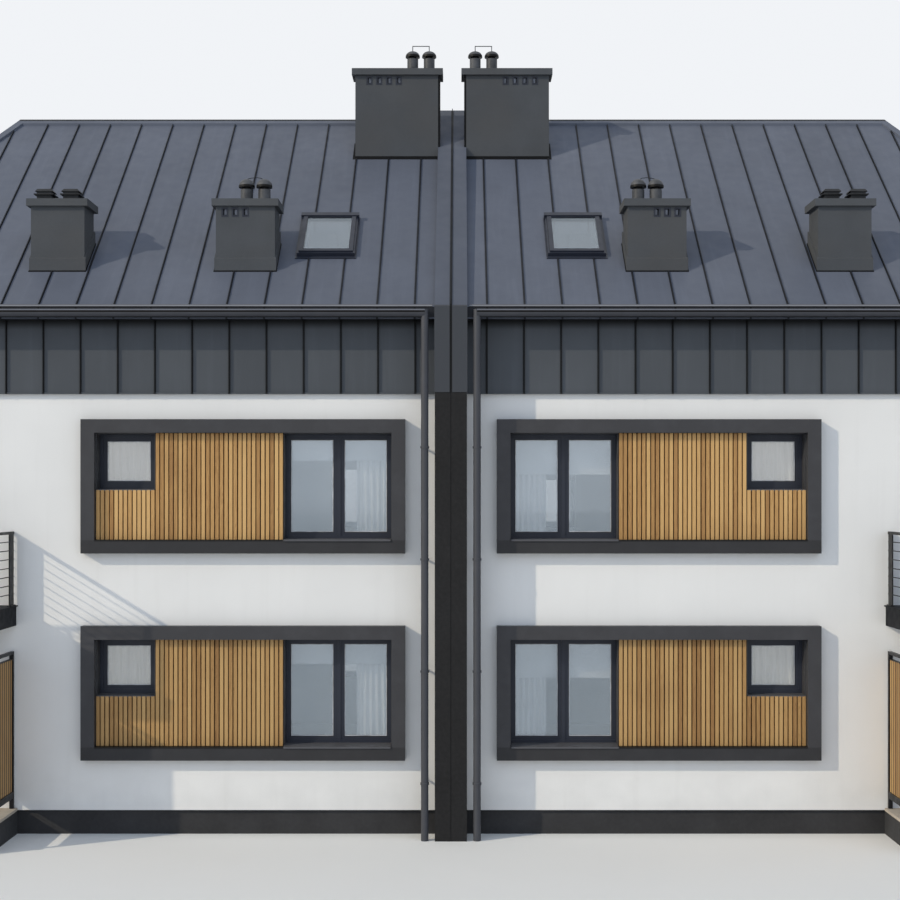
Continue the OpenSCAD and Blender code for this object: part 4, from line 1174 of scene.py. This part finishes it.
class BLOCK_OT_curtains(bpy.types.Operator):
    """Hang pleated curtains and blinds behind the glass."""

    bl_idname = "block.curtains"
    bl_label = "Curtains and Blinds"

    def cloth(self, name, x, y, z, flat):
        """A sheet from arrays of X, Y and Z over its width and its height."""
        rows, columns = x.shape
        index = np.arange(rows * columns).reshape(rows, columns)
        quads = np.stack([index[:-1, :-1], index[:-1, 1:], index[1:, 1:], index[1:, :-1]],
                         axis=-1).reshape(-1, 4)
        piece = add_piece(name, (points(x, y, z).reshape(-1, 3), quads.tolist()),
                          "curtain_cloth", smooth=True)

    def pleated(self, kind, tag, hole, way, into, y, seed):
        """A curtain whose depth is a sine of its width, and whose pleats open downwards.

        Depth = y + a sin(2 pi u / pleat + s), where a grows from the head to the hem and s
        is a slow seeded sway.
        """
        beside, width, pleat, under, over, back = CURTAINS[kind]
        left = on_side(way, hole[0] + beside, width)
        bottom, height = hole[1] + under, hole[3] - under - over
        chance = np.random.default_rng(seed)
        sway, turn = chance.uniform(0.3, 0.8), chance.uniform(0, 6)
        u, v = np.meshgrid(np.linspace(0, width, 12 * round(width / pleat) + 1),
                           np.linspace(0, 1, 17))
        head_deep, growth, lean = 0.014, 0.010, 0.3
        deep = head_deep + growth * v
        bend = sway * np.sin(3 * v + turn + 4 * u / width)
        inner = y + back * into + deep * np.sin(2 * math.pi * u / pleat + bend)
        x = left + u + lean * deep * np.cos(4 * math.pi * u / pleat + bend)
        z = bottom + height * (1 - v)
        run = np.hypot(np.diff(x[8]), np.diff(inner[8])).sum()
        self.cloth(f"{kind}_{tag}", x, inner, z, (float(run), height))

    def blind(self, name, left, width, bottom, height, y):
        """A blind folded to and fro: depth is a triangle wave of its height."""
        fold, fold_d = 0.02, 0.004
        count = max(2, 2 * round(height / fold))
        u, v = np.meshgrid(np.linspace(0, width, 3), np.linspace(0, height, count + 1))
        deep = y + fold_d * (np.arange(count + 1)[:, None] % 2)
        z = bottom + height - v
        run = np.hypot(np.diff(z[:, 0]), np.diff(deep[:, 0])).sum()
        self.cloth(name, left + u, deep, z, (width, float(run)))

    def hang(self, sizes, storey, way, into, y, tag):
        """The cloth behind one house's windows on one face and storey, and its rails."""
        wide, small = double_hole(sizes, storey), small_hole(sizes, storey)
        holes = [wide, small]
        seed = sum(map(ord, tag))
        self.pleated("small_curtain", tag, small, way, into, y, seed)
        self.pleated("long_curtain", tag, wide, way, into, y, seed + 1)
        head_gap, beside, width, forward = 0.03, 0.02, 1.50, 0.018
        drop = 0.56 if way > 0 else 0.36
        self.blind(f"blind_{tag}", on_side(way, wide[0] + beside, width), width,
                   wide[1] + wide[3] - head_gap - drop, drop, y - forward * into)
        if into > 0:
            holes.append(door_hole(sizes, storey))
            self.pleated("door_curtain", tag, holes[-1], way, into, y, seed + 2)
        return [(on_side(way, left, width), y, bottom + height - head_gap, width)
                for left, bottom, width, height in holes]

    def execute(self, context):
        sizes = context.scene.block_sizes
        past_frame = 0.045
        inside = sizes.reveal + sizes.frame_d + past_frame
        rails = []
        for storey, level in enumerate(("lower", "upper")):
            for house, way in (("left", -1), ("right", 1)):
                for face, into, y in (("front", 1, inside),
                                      ("back", -1, sizes.depth - inside)):
                    rails += self.hang(sizes, storey, way, into, y,
                                       f"{face}_{level}_{house}")
        left, y, z, width = np.array(rails).T
        gap, half_d, height, ease = 0.004, 0.014, 0.028, 0.002
        bars = boxes(points(left + gap, y - half_d, z),
                     points(left + width - gap, y + half_d, z + height), ease)
        add_piece("curtain_rails", lofts(bars), "pale_zinc")
        return {"FINISHED"}


class BLOCK_OT_feet(bpy.types.Operator):
    """Bolt foot plates under the railings' posts."""

    bl_idname = "block.feet"
    bl_label = "Railing Feet"

    def execute(self, context):
        """A plate under each post, as X, Y and half sizes, with a bolt near each corner."""
        sizes = context.scene.block_sizes
        deck_drop, plate_ease, bolt_ease = 0.045, 0.0015, 0.001
        deck = sizes.floor_z + sizes.storey_h - deck_drop
        thick, margin, bolt_r, bolt_z, bolt_h = 0.008, 0.012, 0.007, 0.007, 0.009
        outer, inner = (0.045, 0.045), (0.032, 0.112)
        posts = ((6.258, -1.202, outer), (7.69, -1.202, outer), (9.122, -1.202, outer),
                 (6.246, -0.128, inner), (9.134, -0.128, inner))
        plates, bolts = [], []
        hexagon = bolt_r * circle(full_turn(6))
        for x, y, (half_x, half_y) in posts:
            plates.append(boxes([x - half_x, y - half_y, deck],
                                [x + half_x, y + half_y, deck + thick], plate_ease))
            for sx in (margin - half_x, half_x - margin):
                for sy in (margin - half_y, half_y - margin):
                    bolts.append(carried_up(
                        hexagon[None] + [x + sx, y + sy], deck + bolt_z,
                        deck + bolt_z + bolt_h, bolt_ease))
        add_piece("railing_feet", join(lofts(both(np.concatenate(plates))),
                                       lofts(both(np.concatenate(bolts)))),
                  "rail_coat")
        return {"FINISHED"}


SUN_COLOUR = (1.0, 0.89, 0.70)
SUN_TRAVEL = (0.775, 0.417, -0.475)
SKY_COLOUR = (0.80, 0.92, 1.10, 1.0)


class BLOCK_OT_stage(bpy.types.Operator):
    """Set up the plain floor, the soft light and the camera."""

    bl_idname = "block.stage"
    bl_label = "Stage"

    def floor(self, stage):
        """A wide disc that fades to the backdrop's colour, so that no horizon shows."""
        radius, rings, sides = 400.0, 24, 96
        fade_start, fade_end = 22.0, 75.0
        r = radius * np.linspace(0, 1, rings + 1)[1:] ** 2
        flat = r[:, None, None] * circle(full_turn(sides))
        places = points(flat[..., 0], flat[..., 1], 0.0)
        index = np.arange(rings * sides).reshape(rings, sides)
        ahead = np.roll(index, -1, axis=1)
        faces = np.stack([index[:-1], index[1:], ahead[1:], ahead[:-1]],
                         axis=-1).reshape(-1, 4).tolist() + [index[0].tolist()]
        mesh = bpy.data.meshes.new("floor")
        mesh.from_pydata(places.reshape(-1, 3).tolist(), [], faces)
        piece = bpy.data.objects.new("floor", mesh)
        bpy.context.scene.collection.objects.link(piece)
        f = Finish("plain_floor", 0.9, Specular_IOR_Level=0.1)
        f.colour(f.scaled(stage.ground, f.clouds(0.4, 0.99, 1.01)))
        f.relief((f.noise(60.0), 0.05, 0.001))
        away = f.add("ShaderNodeVectorMath", [(0, f.where)], operation="LENGTH")
        far = f.fit(away.outputs["Value"], fade_start, fade_end)
        glow = f.add("ShaderNodeEmission", [("Color", (*stage.backdrop, 1.0)),
                                            ("Strength", 1.0)])
        rays = f.add("ShaderNodeLightPath").outputs
        mixed = f.add("ShaderNodeMixShader", [
            (0, f.times(far, rays["Is Camera Ray"])), (1, f.shader.outputs[0]),
            (2, glow.outputs[0])])
        output = f.tree.nodes["Material Output"]
        f.tree.links.new(mixed.outputs[0], output.inputs["Surface"])
        mesh.materials.append(f.material)

    def sky(self, stage):
        """A soft light, stronger from the front, and a plain colour for gloss and glass."""
        world = bpy.data.worlds.new("plain_sky")
        bpy.context.scene.world = world
        world.use_nodes = True
        world.node_tree.nodes.clear()
        n = Nodes(world.node_tree)
        way = n.add("ShaderNodeTexCoord").outputs["Generated"]
        y = n.add("ShaderNodeSeparateXYZ", [(0, way)]).outputs["Y"]
        strength = n.fit(y, 0.0, -1.0, 0.60 * stage.sky, 1.35 * stage.sky)
        even = n.add("ShaderNodeBackground", [("Color", SKY_COLOUR),
                                              ("Strength", strength)])
        plain = n.add("ShaderNodeBackground", [("Color", (*stage.backdrop, 1.0))])
        rays = n.add("ShaderNodeLightPath").outputs
        seen = rays["Is Camera Ray"]
        for kind in ("Is Glossy Ray", "Is Transmission Ray"):
            seen = n.math("MAXIMUM", seen, rays[kind])
        mixed = n.add("ShaderNodeMixShader", [(0, seen), (1, even.outputs[0]),
                                              (2, plain.outputs[0])])
        n.add("ShaderNodeOutputWorld", [("Surface", mixed.outputs[0])])

    def execute(self, context):
        stage = context.scene.block_stage
        camera_data = bpy.data.cameras.new("camera")
        camera = bpy.data.objects.new("camera", camera_data)
        context.scene.collection.objects.link(camera)
        camera.location = stage.camera
        camera.rotation_euler = (math.radians(90), 0, 0)
        camera_data.lens = stage.lens
        camera_data.sensor_width = 36.0
        camera_data.shift_x, camera_data.shift_y = stage.shift
        camera_data.clip_start, camera_data.clip_end = 0.5, 1000.0
        context.scene.camera = camera
        lamp = bpy.data.lights.new("sun", "SUN")
        lamp.energy = stage.sun
        lamp.angle = stage.sun_size
        lamp.color = SUN_COLOUR
        sun = bpy.data.objects.new("sun", lamp)
        context.scene.collection.objects.link(sun)
        east, north, up = SUN_TRAVEL
        tilt = math.acos(-up / math.hypot(east, north, up))
        sun.rotation_euler = (tilt, 0, math.atan2(north, east) - math.pi / 2)
        self.floor(stage)
        self.sky(stage)
        context.scene.view_settings.view_transform = "Standard"
        return {"FINISHED"}


STEPS = (BLOCK_OT_finishes, BLOCK_OT_slats, BLOCK_OT_screens, BLOCK_OT_flashings,
         BLOCK_OT_vents, BLOCK_OT_bows, BLOCK_OT_straps, BLOCK_OT_eaves,
         BLOCK_OT_glazing, BLOCK_OT_curtains, BLOCK_OT_feet, BLOCK_OT_stage)
GROUPS = {"block_sizes": BlockSizes, "block_timber": TimberSizes,
          "block_colours": Colours, "block_stage": StageSettings}


class BLOCK_PT_panel(bpy.types.Panel):
    """Lists the steps, with the settings under them."""

    bl_idname = "BLOCK_PT_panel"
    bl_label = "House Block"
    bl_space_type = "VIEW_3D"
    bl_region_type = "UI"
    bl_category = "House Block"

    def draw(self, context):
        for step in STEPS:
            self.layout.operator(step.bl_idname)
        for group in GROUPS:
            settings = getattr(context.scene, group)
            for name in settings.bl_rna.properties.keys():
                if name not in ("rna_type", "name"):
                    self.layout.prop(settings, name)


def register():
    """Adds the settings, the operators and the panel."""
    for name, group in GROUPS.items():
        bpy.utils.register_class(group)
        setattr(bpy.types.Scene, name, bpy.props.PointerProperty(type=group))
    for step in (*STEPS, BLOCK_PT_panel):
        bpy.utils.register_class(step)


def unregister():
    """Takes them away again."""
    for step in (BLOCK_PT_panel, *reversed(STEPS)):
        bpy.utils.unregister_class(step)
    for name, group in reversed(GROUPS.items()):
        delattr(bpy.types.Scene, name)
        bpy.utils.unregister_class(group)


def main():
    """Runs every step."""
    register()
    bpy.ops.block.finishes()
    bpy.ops.block.slats()
    bpy.ops.block.screens()
    bpy.ops.block.flashings()
    bpy.ops.block.vents()
    bpy.ops.block.bows()
    bpy.ops.block.straps()
    bpy.ops.block.eaves()
    bpy.ops.block.glazing()
    bpy.ops.block.curtains()
    bpy.ops.block.feet()
    bpy.ops.block.stage()


if __name__ == "__main__":
    main()
